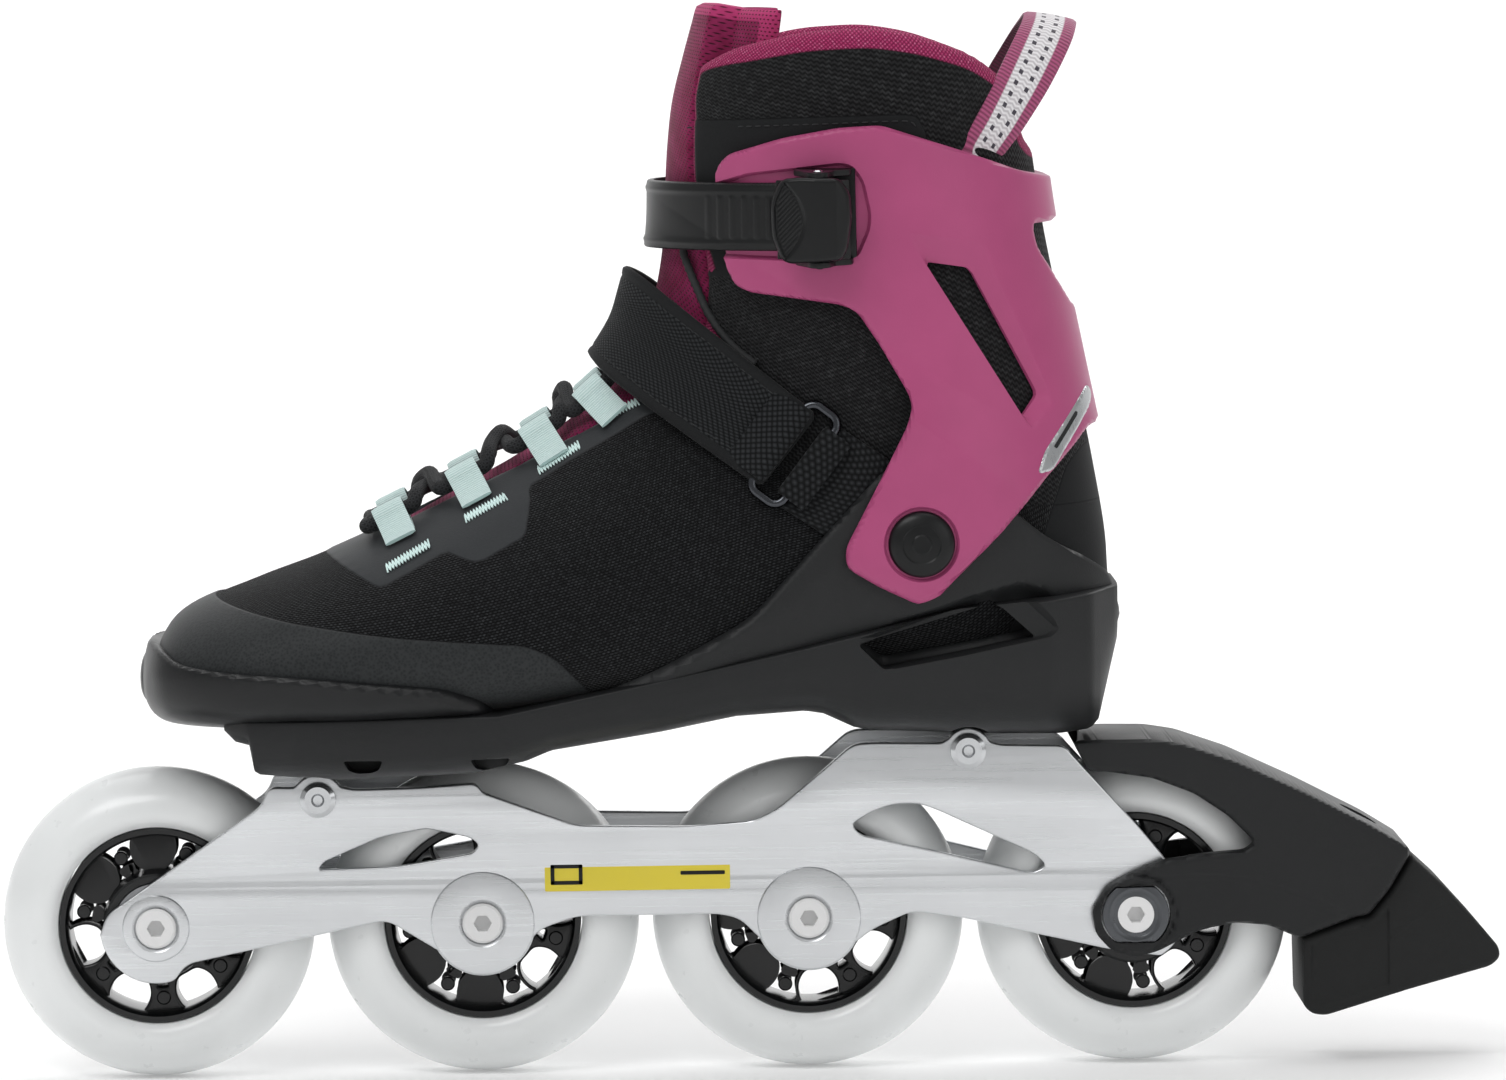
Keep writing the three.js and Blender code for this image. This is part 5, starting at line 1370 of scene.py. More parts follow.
def pink_at(x, y, z, s, a, d):
    width = 2.0 + 2.9 * ramp(x, 14, 30) * (1 - 0.35 * ramp(x, 75, 98))
    front = sd([(5, 214), (11.6, 212), (12.9, 209.5), (15.6, 202), (18.3, 196), (21.4, 190.6),
                (26, 186), (10, 186),
                (0, 200)], x, z)
    return np.maximum(np.where(z > 206, width - d, -9), front)


boot_rows = np.r_[np.linspace(-1, 0, 12)[:-1], even_rows(0, 14.4, 2.25)[:-1],
                  even_rows(14.4, 18, 1.0)]
boot = field(
    "boot_upper", boot_rows, 236, boot_region, boot_top, boot_bottom, mean=-0.5, angle=180,
    attrs={
        "rand": lambda x, y, z, s, a, d: np.where(s < 9.5, sd(RAND, x, z), -9),
        "film": lambda x, y, z, s, a, d: np.where((s < 9.2) & (z > 122), sd(FILM, x, z), -9),
        "patch": lambda x, y, z, s, a, d: np.maximum(np.where(z > 205, sd(PATCH, x, z), -9),
                                                      sd(HEEL_PATCH, x, z)),
        "knit": lambda x, y, z, s, a, d: knit_side(x, z),
        "pink": pink_at,
        "lining": lambda x, y, z, s, a, d: z - 200,
    },
    lines=[lambda x, y, z, s, a: np.where(s < 9.5, sd(RAND, x, z) + 0.3, -9),
           lambda x, y, z, s, a: np.where(s < 9.5, sd(RAND, x, z) - 0.3, -9),
           lambda x, y, z, s, a: np.where(z > 205, sd(PATCH, x, z) + 0.3, -9)],
)


def boot_mat():
    m = Mat("boot_fabric", "0d0e0f", 0.85, Sheen_Weight=0.06, Sheen_Roughness=0.5,
            Specular_IOR_Level=0.12)
    _, u, v = m.uv()
    step = lambda name, w=0.12: m.map(m.attr(name), -w, w)
    # fine mesh in rows along the foot
    r = m.math("DIVIDE", u, 0.72)
    odd = m.math("MULTIPLY", m.math("MODULO", m.math("FLOOR", r), 2.0), 0.5)
    q = m.math("ADD", m.math("DIVIDE", v, 1.15), odd)
    across = m.math("SUBTRACT", m.math("FRACT", r), 0.5)
    along = m.math("SUBTRACT", m.math("FRACT", q), 0.5)
    far = m.math("SQRT", m.math("ADD", m.math("MULTIPLY", m.math("MULTIPLY", across, across), 1.5),
                                m.math("MULTIPLY", along, along)))
    mesh_h = m.map(far, 0.56, 0.16)
    tone = m.noise(m.obj(0.9), 1.0, 2.0)
    mesh_c = m.mix(m.math("MULTIPLY", mesh_h, m.map(tone, 0.4, 0.7, 0.25, 1.0)), "050506", "3a3c3e")
    # zigzag knit of the collar
    zig = m.tri(u, 1.5)
    w = m.math("ADD", v, m.math("MULTIPLY", zig, 0.55))
    knit_h = m.tri(w, 1.25)
    spark = m.map(m.noise(m.obj(1.6), 1.0, 2.0), 0.45, 0.75)
    knit_c = m.mix(m.math("MULTIPLY", knit_h, m.map(spark, 0, 1, 0.4, 1.0)), "060607", "3b3c3d")
    k = step("knit")
    h = m.node("ShaderNodeMix", data_type="FLOAT")
    m.feed(h.inputs[0], k)
    m.feed(h.inputs[2], mesh_h)
    m.feed(h.inputs[3], knit_h)
    col = m.mix(k, mesh_c, knit_c)
    # smooth overlays
    pebble = m.cells(m.obj(0.75), 1.0)
    over = m.math("MAXIMUM", m.math("MAXIMUM", step("rand"), step("film")), step("patch"))
    fine = m.noise(m.obj(0.5), 1.0, 2.0)
    flat = m.math("MULTIPLY", fine, 0.18)
    h2 = m.node("ShaderNodeMix", data_type="FLOAT")
    m.feed(h2.inputs[0], over)
    m.feed(h2.inputs[2], h.outputs[0])
    m.feed(h2.inputs[3], flat)
    col = m.mix(step("film"), col, m.mix(fine, "2c2e30", "36383a"))
    col = m.mix(step("patch"), col, m.mix(fine, "191a1b", "222324"))
    rand_c = m.mix(m.map(pebble, 0.1, 0.7), "232526", "303233")
    col = m.mix(step("rand"), col, rand_c)
    # pink knitted edge and lining
    pu = m.math("SUBTRACT", m.math("FRACT", m.math("DIVIDE", m.math("ADD", u, v), 1.1)), 0.5)
    pv = m.math("SUBTRACT", m.math("FRACT", m.math("DIVIDE", m.math("SUBTRACT", v, u), 1.1)), 0.5)
    pd = m.math("SQRT", m.math("ADD", m.math("MULTIPLY", pu, pu), m.math("MULTIPLY", pv, pv)))
    pink_h = m.map(pd, 0.5, 0.15)
    speck = m.map(m.noise(m.obj(0.7), 1.0, 1.0), 0.5, 0.72)
    pink_c = m.mix(pink_h, "7c1c46", m.mix(speck, "b93f72", "d9779f"))
    inside = m.math("GREATER_THAN", m.attr("inside"), 0.5)
    lining = m.math("MULTIPLY", inside, m.map(m.attr("lining"), -2, 2))
    pink = m.math("MAXIMUM", step("pink", 0.15), lining)
    h3 = m.node("ShaderNodeMix", data_type="FLOAT")
    m.feed(h3.inputs[0], pink)
    m.feed(h3.inputs[2], h2.outputs[0])
    m.feed(h3.inputs[3], pink_h)
    col = m.mix(pink, col, pink_c)
    # grooves along the seams
    seam = None
    for name in ("rand", "film", "patch", "pink", "knit"):
        one = m.map(m.math("ABSOLUTE", m.attr(name)), 0.0, 0.4, 1.0, 0.0)
        seam = one if seam is None else m.math("MAXIMUM", seam, one)
    seam = m.math("MULTIPLY", seam, m.math("SUBTRACT", 1.0, inside))
    col = m.mix(m.math("MULTIPLY", seam, 0.55), col, "08080a")
    height = m.math("SUBTRACT", h3.outputs[0], m.math("MULTIPLY", seam, 0.8))
    m.bump(height, 0.22)
    m.color(col)
    rough = m.map(m.math("MAXIMUM", step("film"), step("rand")), 0, 1, 0.85, 0.5)
    m.rough(rough)
    return m.mat


M["boot"] = boot_mat()
boot.data.materials.append(M["boot"])
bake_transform(boot)
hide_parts("boot_foot", "boot_collar")

# ---- tongue ----
TONGUE_SIDE = soft([(-80, 120), (-30, 128), (0, 160), (30, 185), (44, 205), (51.2, 266.8),
                    (47.8, 269), (41.1, 271.6),
                    (29.2, 273), (17.3, 274), (8, 273), (-10, 250), (-30, 200), (-80, 160)], 4)
TONGUE_PLAN = soft([(-72, -15), (-50, -26), (-10, -30), (50, -34), (50, 34), (-10, 30), (-50, 26),
                    (-72, 15)], 3)


def tongue_region(x, y, z, s, a):
    return np.minimum(sd(TONGUE_SIDE, x, z), sd(TONGUE_PLAN, x, y))


def tongue_top(x, y, z, s, a, d):
    w = wall_at(s)
    t = ramp(sd(THROAT, x, y), -0.2, 2.4)
    low = -w - 0.5
    high = -0.9 - 0.5 * np.sin(x * 0.25) ** 2 * 0.3
    h = low + (high - low) * np.maximum(t, 0)
    return h - edge_round(d, 2.1)


def tongue_bottom(x, y, z, s, a, d):
    return -wall_at(s) - 4.4 + edge_round(d, 2.0)


tongue = field("tongue_padded", even_rows(5.0, 18, 1.5), 110, tongue_region, tongue_top,
               tongue_bottom, mean=-3.0,
               a0=0.05, a1=PI - 0.05, angle=180,
               attrs={"lip": lambda x, y, z, s, a, d: np.where(z > 240, 3.2 - d, -9)})


def tongue_mat():
    m = Mat("tongue_knit", "7d1f4c", 0.85, Sheen_Weight=0.12, Sheen_Roughness=0.5,
            Specular_IOR_Level=0.12)
    _, u, v = m.uv()
    r = m.math("DIVIDE", v, 1.25)
    odd = m.math("MULTIPLY", m.math("MODULO", m.math("FLOOR", r), 2.0), 0.5)
    q = m.math("ADD", m.math("DIVIDE", u, 1.5), odd)
    fv = m.math("SUBTRACT", m.math("FRACT", r), 0.5)
    fu = m.math("SUBTRACT", m.math("FRACT", q), 0.5)
    far = m.math("SQRT", m.math("ADD", m.math("MULTIPLY", m.math("MULTIPLY", fv, fv), 1.9),
                                m.math("MULTIPLY", fu, fu)))
    h = m.map(far, 0.12, 0.34)
    hair = m.noise(m.obj(0.35), 1.0, 2.0)
    m.bump(m.math("ADD", h, m.math("MULTIPLY", hair, 0.2)), 0.22)
    wide = m.noise(m.obj(6), 1.0, 2.0)
    base = m.mix(m.map(wide, 0.3, 0.7), "74193f", "8e2a58")
    col = m.mix(h, "360a1e", base)
    col = m.mix(m.map(m.attr("lip"), -0.2, 0.2), col, m.mix(h, "5a1231", "b0396c"))
    m.color(col)
    return m.mat


M["tongue"] = tongue_mat()
tongue.data.materials.append(M["tongue"])
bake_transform(tongue)
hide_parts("tongue")

# ---- insole ----
inso = loft("insole_sock", (lambda s: -wall_at(s) - 0.35, lambda s: -wall_at(s) - 0.35,
                            lambda s: -wall_at(s) - 0.5),
            0.25, 11.6, 3.0, 160)
over = flow([(-140, 101.8), (-60, 101.8), (-15, 102.2), (18, 105.6), (50, 109.2), (80, 110.2),
             (125, 110.4)], 8)
cut(inso, [prism("under", [(float(x), float(z)) for x, z in over] + [(125, 60), (-140, 60)], -60,
                 60)], "INTERSECT")
shade(inso.data, 40)


def insole_mat():
    m = Mat("insole_cloth", "2b2c30", 0.9, Sheen_Weight=0.3,
            Specular_IOR_Level=0.12)
    a = m.noise(m.obj(0.5), 1.0, 2.0)
    b = m.cells(m.obj(2.2), 1.0)
    m.bump(m.math("ADD", a, m.math("MULTIPLY", m.map(b, 0, 0.4), 0.6)), 0.2)
    m.color(m.mix(m.map(b, 0.05, 0.4), "17181a", "3a3b40"))
    return m.mat


M["insole"] = insole_mat()
ride(inso, "chassis", ["insole"], M["insole"])

# ---- cord along the front of the collar, and seams ----
CORD_LINE = [(12.9, 214.5), (12.6, 211.5), (13.1, 209.2), (14.6, 205), (16.2, 201), (18.3, 196),
             (21.2, 191.3),
             (25, 187), (30, 183)]
cords = []
for way in (-1, 1):
    p = even(flow(on_side(CORD_LINE, way, 0.6), 6), 0.7)
    n = len(p)
    cords.append(tube("cord", p, 1.0 + 0.12 * np.cos(np.arange(n) * 2.1), 12))
cord = joined("collar_cord_edge", cords)
cord.data.materials.append(M["thread"])
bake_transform(cord)
seams = []
for way in (-1, 1):
    line = on_side([(14, 242.6), (30, 243.1), (50, 243.6), (66, 244), (69.6, 243.6), (71.4, 240.8)],
                   way, 0.55)
    seams.append(thread("seam", even(flow(line, 6), 0.5), 1.7, 0.8, 0.22, M["thread"]))
seam = joined("collar_stitches", seams)
ride(seam, "cuff", ())


# ---- lace loops, lace and bartacks ----
LOOP_ROWS = [5.42, 6.35, 7.3, 8.14]
LOOP_ANGLE = 0.37
LOOP_LENGTH = 8.6
LACE_RISE = 3.9


def loop_axes(row, way):
    """Centre line of the skin under a loop: place, along, towards the middle, out."""
    p, run, across, out = axes_at(row, PI / 2 - way * LOOP_ANGLE)
    if across[1] * way > 0:
        across = -across
    if out[2] < 0:
        out = -out
    if run[0] < 0:
        run = -run
    return p, run, across, out


def band_faces(n, cols):
    """Faces of a thick band: n rows of cols points, the outer layer and then the inner one."""
    faces = []
    m = n * cols
    for i in range(n - 1):
        for j in range(cols - 1):
            a = i * cols + j
            faces.append((a, a + 1, a + cols + 1, a + cols))
            faces.append((m + a, m + a + cols, m + a + cols + 1, m + a + 1))
    for i in range(n - 1):
        a = i * cols
        faces.append((a, a + cols, m + a + cols, m + a))
        b = a + cols - 1
        faces.append((b, m + b, m + b + cols, b + cols))
    for j in range(cols - 1):
        faces.append((j, m + j, m + j + 1, j + 1))
        b = (n - 1) * cols + j
        faces.append((b, b + 1, m + b + 1, m + b))
    return faces


def sheet_of(name, path, thick, half, axes, mat=None, cols=9):
    """A band that follows a path of (across, out) and runs half each way along."""
    p, run, across, out = axes
    c = np.asarray(path, float)
    n = len(c)
    t = np.gradient(c, axis=0)
    t /= np.linalg.norm(t, axis=1)[:, None]
    nor = np.stack([-t[:, 1], t[:, 0]], 1)
    far = np.r_[0, np.cumsum(np.linalg.norm(np.diff(c, axis=0), axis=1))]
    ws = np.linspace(-half, half, cols)
    verts, uv = [], []
    for layer in (0.5, -0.5):
        for i in range(n):
            for w in ws:
                edge = 1 - 0.55 * max(0, (abs(w) - (half - 0.5)) / 0.5)
                q = c[i] + nor[i] * thick * layer * edge
                verts.append(p + run * w + across * q[0] + out * q[1])
                uv.append((w, far[i]))
    o = fix_normals(make(name, verts, band_faces(n, cols), 60, None, uv))
    if mat is not None:
        o.data.materials.append(mat)
    return o


def ribbed(name, color, dark, pitch=0.62, depth=0.12, along=False):
    """Grosgrain ribbon: fine ribs across its length."""
    m = Mat(name, color, 0.7, Sheen_Weight=0.25, Sheen_Roughness=0.5)
    _, u, v = m.uv()
    rib = m.tri(u if along else v, pitch)
    cross_ = m.tri(v if along else u, 0.35)
    h = m.math("ADD", m.math("MULTIPLY", rib, 0.85), m.math("MULTIPLY", cross_, 0.15))
    m.bump(h, depth)
    n = m.noise(m.obj(1.2), 1.0, 2.0)
    m.color(m.mix(m.math("MULTIPLY", h, m.map(n, 0.3, 0.7, 0.8, 1.0)), dark, color))
    return m.mat


M["mint"] = ribbed("mint_ribbon", "dfeeec", "a6c4c1")
for i, row in enumerate(LOOP_ROWS):
    for way, side_name in ((-1, "outer"), (1, "inner")):
        ax_ = loop_axes(row, way)
        c = np.array([2.5, LACE_RISE])
        turn_ = [(c[0] + 3.0 * math.cos(t), c[1] + 3.0 * math.sin(t))
                 for t in np.radians(np.linspace(168, -62, 22))]
        path = flow([(-8.6, 0.75), (-6.4, 1.15), (-4, 2.3), (-1.8, 3.9)], 4).tolist() + turn_[1:]
        path += [(1.6, 0.95), (-1.5, 0.55), (-5, 0.3)]
        o = sheet_of("lace_ribbon_%s_%d" % (side_name, i + 1), path, 0.85, LOOP_LENGTH / 2 * 0.97,
                     ax_, M["mint"])
        ride(o, "chassis", ["lace_loop_%s_%d" % (side_name, i + 1)])


def lace_paths():
    def through(row, way):
        p, run, across, out = loop_axes(row, way)
        c = p + across * 2.5 + out * LACE_RISE
        d = run * (LOOP_LENGTH / 2 + 1.6)
        return c - d, c + d, run, out, across

    def middle(s, lift_):
        return skin(s, PI / 2, lift_, 0, 0)

    knot = middle(8.95, 3.2)
    strands = []
    for first, lift_ in ((-1, 3.6), (1, 6.2)):
        pts = [middle(LOOP_ROWS[0] - 0.27, 2.8)]
        for i, row in enumerate(LOOP_ROWS):
            way = first if i % 2 == 0 else -first
            low, high, run, out, across = through(row, way)
            pts.append(low - run * 1.2 + out * 0.3 + (pts[-1] - low) * 0.18)
            pts += [low, low * 0.5 + high * 0.5, high]
            nxt = middle((row + LOOP_ROWS[i + 1]) / 2, lift_) if i < 3 else knot
            pts.append(high + run * 0.9 + out * 1.5 + (nxt - high) * 0.16)
            pts.append(high * 0.45 + nxt * 0.55 + out * 1.3)
            pts.append(nxt)
        strands.append(flow(pts, 8))
    return strands, knot


def braid_mat():
    m = Mat("lace_braid", "121213", 0.8, Sheen_Weight=0.08, Sheen_Roughness=0.5,
            Specular_IOR_Level=0.12)
    _, u, v = m.uv()
    a = m.tri(m.math("ADD", v, m.math("MULTIPLY", u, 0.9)), 1.1)
    b = m.tri(m.math("SUBTRACT", v, m.math("MULTIPLY", u, 0.9)), 1.1)
    h = m.math("MAXIMUM", m.math("MULTIPLY", a, m.math("SUBTRACT", 1.0,
                                                       m.math("MULTIPLY", b, 0.4))),
               m.math("MULTIPLY", b, m.math("SUBTRACT", 1.0, m.math("MULTIPLY", a, 0.4))))
    hair = m.noise(m.obj(0.2), 1.0, 2.0)
    m.bump(m.math("ADD", h, m.math("MULTIPLY", hair, 0.2)), 0.2)
    m.color(m.mix(h, "0a0a0b", "37383a"))
    return m.mat


M["lace"] = braid_mat()
strands, knot = lace_paths()
lace_parts = [tube("strand", q, 1.95, 16) for q in strands]
kn = []
for k in range(60):
    t = 2 * PI * k / 60
    kn.append(knot + np.array([2.3 * math.cos(t), 3.0 * math.sin(t) * (1 + 0.2 * math.cos(3 * t)),
                               1.0 * math.sin(2 * t)]))
lace_parts.append(tube("knot", kn, 1.8, 14, closed=True))
lace = joined("lace_cord", lace_parts)
ride(lace, "chassis", ["lace"], M["lace"])

tacks = []
for a, b in (((-63.9, 132.6), (-53.0, 138.6)), ((-44.0, 144.4), (-33.6, 149.9)),
             ((-25.3, 156.0), (-14.8, 162.4)),
             ((-7.0, 169.8), (0.2, 173.2))):
    a, b = np.array(a), np.array(b)
    along = (b - a) / np.linalg.norm(b - a)
    side_ = np.array([-along[1], along[0]])
    n = int(np.linalg.norm(b - a) / 0.42)
    pts = [a + (b - a) * k / n + side_ * (0.95 if k % 2 else -0.95) for k in range(n + 1)]
    for way in (-1, 1):
        tacks.append(tube("tack", flow(on_side([tuple(q) for q in pts], way, 0.55), 3), 0.24, 6))
tack = joined("bartacks", tacks)
ride(tack, "chassis", (), M["mint_thread"])

# ---- instep strap ----
NEAR = soft([(-30, 200), (-15.0, 187.3), (-9, 180.9), (30.6, 152.4), (38.6, 162), (45.2, 170.4),
             (1.6, 204.6),
             (-6, 209), (-18, 214)], 2.5)
FAR = soft([(-30, 198), (-15, 187.3), (-9, 180.9), (44, 142), (60, 158), (1.6, 204.6), (-6, 209),
            (-18, 214)], 2.5)


def strap_grow(base):
    return lambda s: base + 5.2 * ramp(s, 6.4, 7.4) * (1 - ramp(s, 11.6, 12.6))


def strap_region(x, y, z, s, a):
    near, far = sd(NEAR, x, z), sd(FAR, x, z)
    t = ramp(y, -6, 6)
    return near * (1 - t) + far * t


def strap_top(x, y, z, s, a, d):
    edge = edge_round(d, 0.8)
    hem = 0.22 * np.exp(-((d - 2.4) / 0.5) ** 2)
    return 1.9 - edge - hem


strap = field("instep_strap_webbing", even_rows(6.2, 13.0, 1.15), 230, strap_region, strap_top,
              lambda x, y, z, s, a, d: edge_round(d, 0.4) + 0.1, mean=1.0,
              grow=(strap_grow(2.2), 1.3, 1.15), angle=60)


def strap_mat():
    m = Mat("strap_basket_weave", "121314", 0.8, Sheen_Weight=0.06, Sheen_Roughness=0.5,
            Specular_IOR_Level=0.12)
    _, u, v = m.uv(0.64, 1.35)
    over = m.math("MULTIPLY", m.math("SINE", m.math("MULTIPLY", u, PI)),
                  m.math("SINE", m.math("MULTIPLY", v, PI)))
    h = m.math("ABSOLUTE", over)
    hair = m.noise(m.obj(0.3), 1.0, 2.0)
    inner = m.map(m.attr("edge"), 2.3, 2.6)
    weave = m.math("MULTIPLY", m.math("ADD", h, m.math("MULTIPLY", hair, 0.2)), inner)
    rim = m.math("MULTIPLY", m.math("SUBTRACT", 1.0, inner), m.math("MULTIPLY", hair, 0.5))
    m.bump(m.math("ADD", weave, rim), 0.2)
    col = m.mix(h, "08090a", "303234")
    m.color(m.mix(inner, m.mix(hair, "161718", "242526"), col))
    return m.mat


M["strap"] = strap_mat()
strap.data.materials.append(M["strap"])


def ring_axes():
    s, a = side_at(39.5, 160, -1)
    p, run, across, out = axes_at(s, a)
    down = np.array([0.79, 0, -0.61])
    x = down - out * (down @ out)
    x /= np.linalg.norm(x)
    y = np.cross(out, x)
    return p + out * 3.4, y, x, out


RING = ring_axes()
SHORT, LONG = 9.5 / 2, 27 / 2


def fold(name, end, tail, half, thick, mat):
    r = 1.2 + 0.25 + thick / 2
    c = end * SHORT
    path = [(c + end * tail, 0.3), (c + end * tail * 0.6, 1.1), (c + end * tail * 0.3, r * 0.9)]
    path += [(c - end * r * math.sin(t), r * math.cos(t)) for t in np.linspace(0.0, PI, 15)]
    path += [(c + end * tail * 0.35, -r * 0.9), (c + end * tail * 0.8, -r * 0.75)]
    return sheet_of(name, path, thick, half, RING, mat, 21)


strap_fold = fold("strap_fold", -1, 8.5, 10.6, 1.4, M["strap"])
layer = strap_fold.data.attributes.new("edge", "FLOAT", "POINT")
layer.data.foreach_set("value", np.full(len(strap_fold.data.vertices), 3.0, np.float32))
strap_all = joined("instep_strap_sewn", [strap, strap_fold])
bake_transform(strap_all)
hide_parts("instep_strap")


def strap_point(x, z, way, rise):
    s, a = side_at(x, z, way)
    for _ in range(3):
        g = [float(strap_grow(2.2)(s)), 1.3, 1.15]
        p = skin(s, a, *g)
        s2, a2 = side_at(x - (p[0] - skin(s, a)[0]), z - (p[2] - skin(s, a)[2]), way)
        s, a = s2, a2
    g = [float(strap_grow(2.2)(s)), 1.3, 1.15]
    n = normals(np.array([s]), np.array([a]), [np.array([v]) for v in g])[0]
    return skin(s, a, *g) + n * rise


stitch = []
for line in ([(-9.5, 185.4), (6, 172.6), (31.3, 156.6)], [(4, 199.5), (20, 187.5), (41.4, 170.0)]):
    q = [strap_point(x, z, -1, 1.75) for x, z in even(np.array(line), 3.0)]
    stitch.append(thread("hem", even(flow(q, 4), 0.4), 1.5, 0.75, 0.2, M["thread"]))
hem = joined("strap_hem_stitches", stitch)
ride(hem, "chassis", ())


def ring_wire():
    r = 3.0
    w, l = SHORT, LONG
    pts = []
    for cx, cy, a0 in ((w - r, l - r, 0), (-w + r, l - r, 90), (-w + r, -l + r, 180),
                       (w - r, -l + r, 270)):
        for t in np.radians(np.linspace(a0, a0 + 90, 9)):
            pts.append((cx + r * math.cos(t), cy + r * math.sin(t)))
    p, run, across, out = RING
    path = [p + across * a + run * b for a, b in pts]
    return tube("strap_ring_wire", path, 1.2, 16, closed=True, up=out)


ride(ring_wire(), "chassis", ["strap_ring"], M["dark_chrome"])

WEB = soft([(50.2, 167.4), (64.2, 158.0), (47.2, 139.6), (34.6, 148.0)], 1.0)
web = field("ring_webbing_flat", even_rows(6, 13.5, 1.2), 230,
            lambda x, y, z, s, a: np.where(y < -10, sd(WEB, x, z), -9),
            lambda x, y, z, s, a, d: 2.1 - edge_round(d, 0.5),
            lambda x, y, z, s, a, d: np.full_like(x, 0.7), mean=1.2, angle=60)


def web_mat():
    m = Mat("ladder_webbing", "101112", 0.75, Sheen_Weight=0.06, Sheen_Roughness=0.5,
            Specular_IOR_Level=0.12)
    vec, u, v = m.uv(0.9, 1.0)
    a = m.tri(u, 1.5)
    b = m.tri(m.math("ADD", v, m.math("MULTIPLY", m.math("FLOOR", m.math("DIVIDE", u, 1.5)), 0.9)),
              1.8)
    h = m.math("MULTIPLY", a, b)
    m.bump(h, 0.25)
    m.color(m.mix(h, "08090a", "343638"))
    return m.mat


M["web"] = web_mat()
web.data.materials.append(M["web"])
web_fold = fold("web_fold", 1, 5.5, 10.2, 1.3, M["web"])
web_all = joined("ring_webbing_sewn", [web, web_fold])
ride(web_all, "chassis", ["ring_webbing"])


# ---- cuff ----
CUFF_SIDE = soft([
    (19.5, 229), (20.1, 233), (22.9, 236.1), (36.6, 240.1), (51, 242.5), (62, 243), (84.5, 235.8),
    (98, 231), (112, 228), (112, 217.5), (101, 217.5), (102, 212), (112, 196), (128, 190),
    (128, 165),
    (115.9, 165.8), (103.3, 153.3), (91.1, 139.9), (78.9, 128), (75.3, 124.1), (70, 122),
    (59.8, 127.1),
    (52, 132), (51.8, 137), (60.1, 153.1), (67.5, 167.4), (68.8, 172.1), (68, 175.3), (60.6, 188.2),
    (55.2, 196.3), (51.2, 198.1), (28, 201.1), (24.1, 203.1), (21.6, 209)], 2)
RECESS = soft([
    (10, 209.5), (21.7, 209.9), (51.2, 208.9), (56, 210.4), (58.9, 217.1), (59.2, 221.1),
    (57.5, 229.1),
    (54.8, 233.2), (51.6, 234), (28.4, 231.5), (20, 229), (10, 228)], 1.5)
CUFF_BEVEL = soft([(67.9, 215.9), (85, 213.8), (87, 212.9), (105.2, 172.4), (99.1, 165.6)], 1.2)
CUFF_HOLE = soft([(72.6, 208.7), (84.5, 207), (102.2, 174.7), (97.6, 168.8)], 1.5)
STRIPE = soft([(100.4, 154.5), (102.5, 160.1), (114.3, 175.9), (115.7, 173.5), (115.1, 170.7),
               (104.4, 155.2)], 1.2)
CUFF_ROUND = 1.3
RECESS_DEPTH = 1.6
CAP_SEAT_R = 9.6


def cuff_in(s):
    """How far the cuff's inner wall stands off the boot: over the shell below, close above."""
    return np.interp(s, [12.05, 12.9], [3.85, 0.9])


M["cuff"] = plastic("cuff_plastic", "ac4b78", 0.36, 0.45, 0.02, 0.05).mat
M["silver"] = metal_mat("satin_silver", "c6c8ca", 0.3, (1.5, 1.5, 0.05), 0.006).mat
# A dark plastic for the sheet in the stripe's slot: painted shade standing in for the slot's depth.
M["slot_dark"] = plastic("slot_shade_plastic", "1c1d1e", 0.6).mat


def cuff_wall():
    def region(x, y, z, s, a):
        d = sd(CUFF_SIDE, x, z)
        return np.where(np.abs(y) > 12, np.minimum(d, -sd(CUFF_HOLE, x, z)), d)

    def top(x, y, z, s, a, d):
        h = CUFF_T - edge_round(np.maximum(sd(CUFF_SIDE, x, z), 0), CUFF_ROUND)
        h = h - RECESS_DEPTH * ramp(sd(RECESS, x, z), 0, 0.8)
        far = np.hypot(x - PIVOT[0], z - PIVOT[1])
        h = h - 1.3 * ramp(CAP_SEAT_R - far, 0, 0.7) * (np.abs(y) > 12)
        inside = np.maximum(sd(CUFF_BEVEL, x, z), 0)
        hole = np.maximum(-sd(CUFF_HOLE, x, z), 0)
        h = h - np.where(np.abs(y) > 12, 1.9 * inside / (inside + hole + 1e-6), 0)
        return np.maximum(h, 0.75)

    def bottom(x, y, z, s, a, d):
        return np.where((z < 160) & (x > 40), 0.5, 0.0)

    lines = [lambda x, y, z, s, a: sd(RECESS, x, z), lambda x, y, z, s, a: sd(RECESS, x, z) - 0.8,
             lambda x, y, z, s, a: sd(CUFF_BEVEL, x, z),
             lambda x, y, z, s, a: np.hypot(x - PIVOT[0], z - PIVOT[1]) - CAP_SEAT_R,
             lambda x, y, z, s, a: np.hypot(x - PIVOT[0], z - PIVOT[1]) - 8.9,
             lambda x, y, z, s, a: sd(CUFF_SIDE, x, z) - CUFF_ROUND]
    return field("cuff_moulding", even_rows(8, 17.4, 0.95), 260, region, top, bottom, CUFF_T,
                 (0.9, cuff_in, cuff_in), lines=lines, angle=32)


ride(cuff_wall(), "cuff", ["cuff"], M["cuff"])


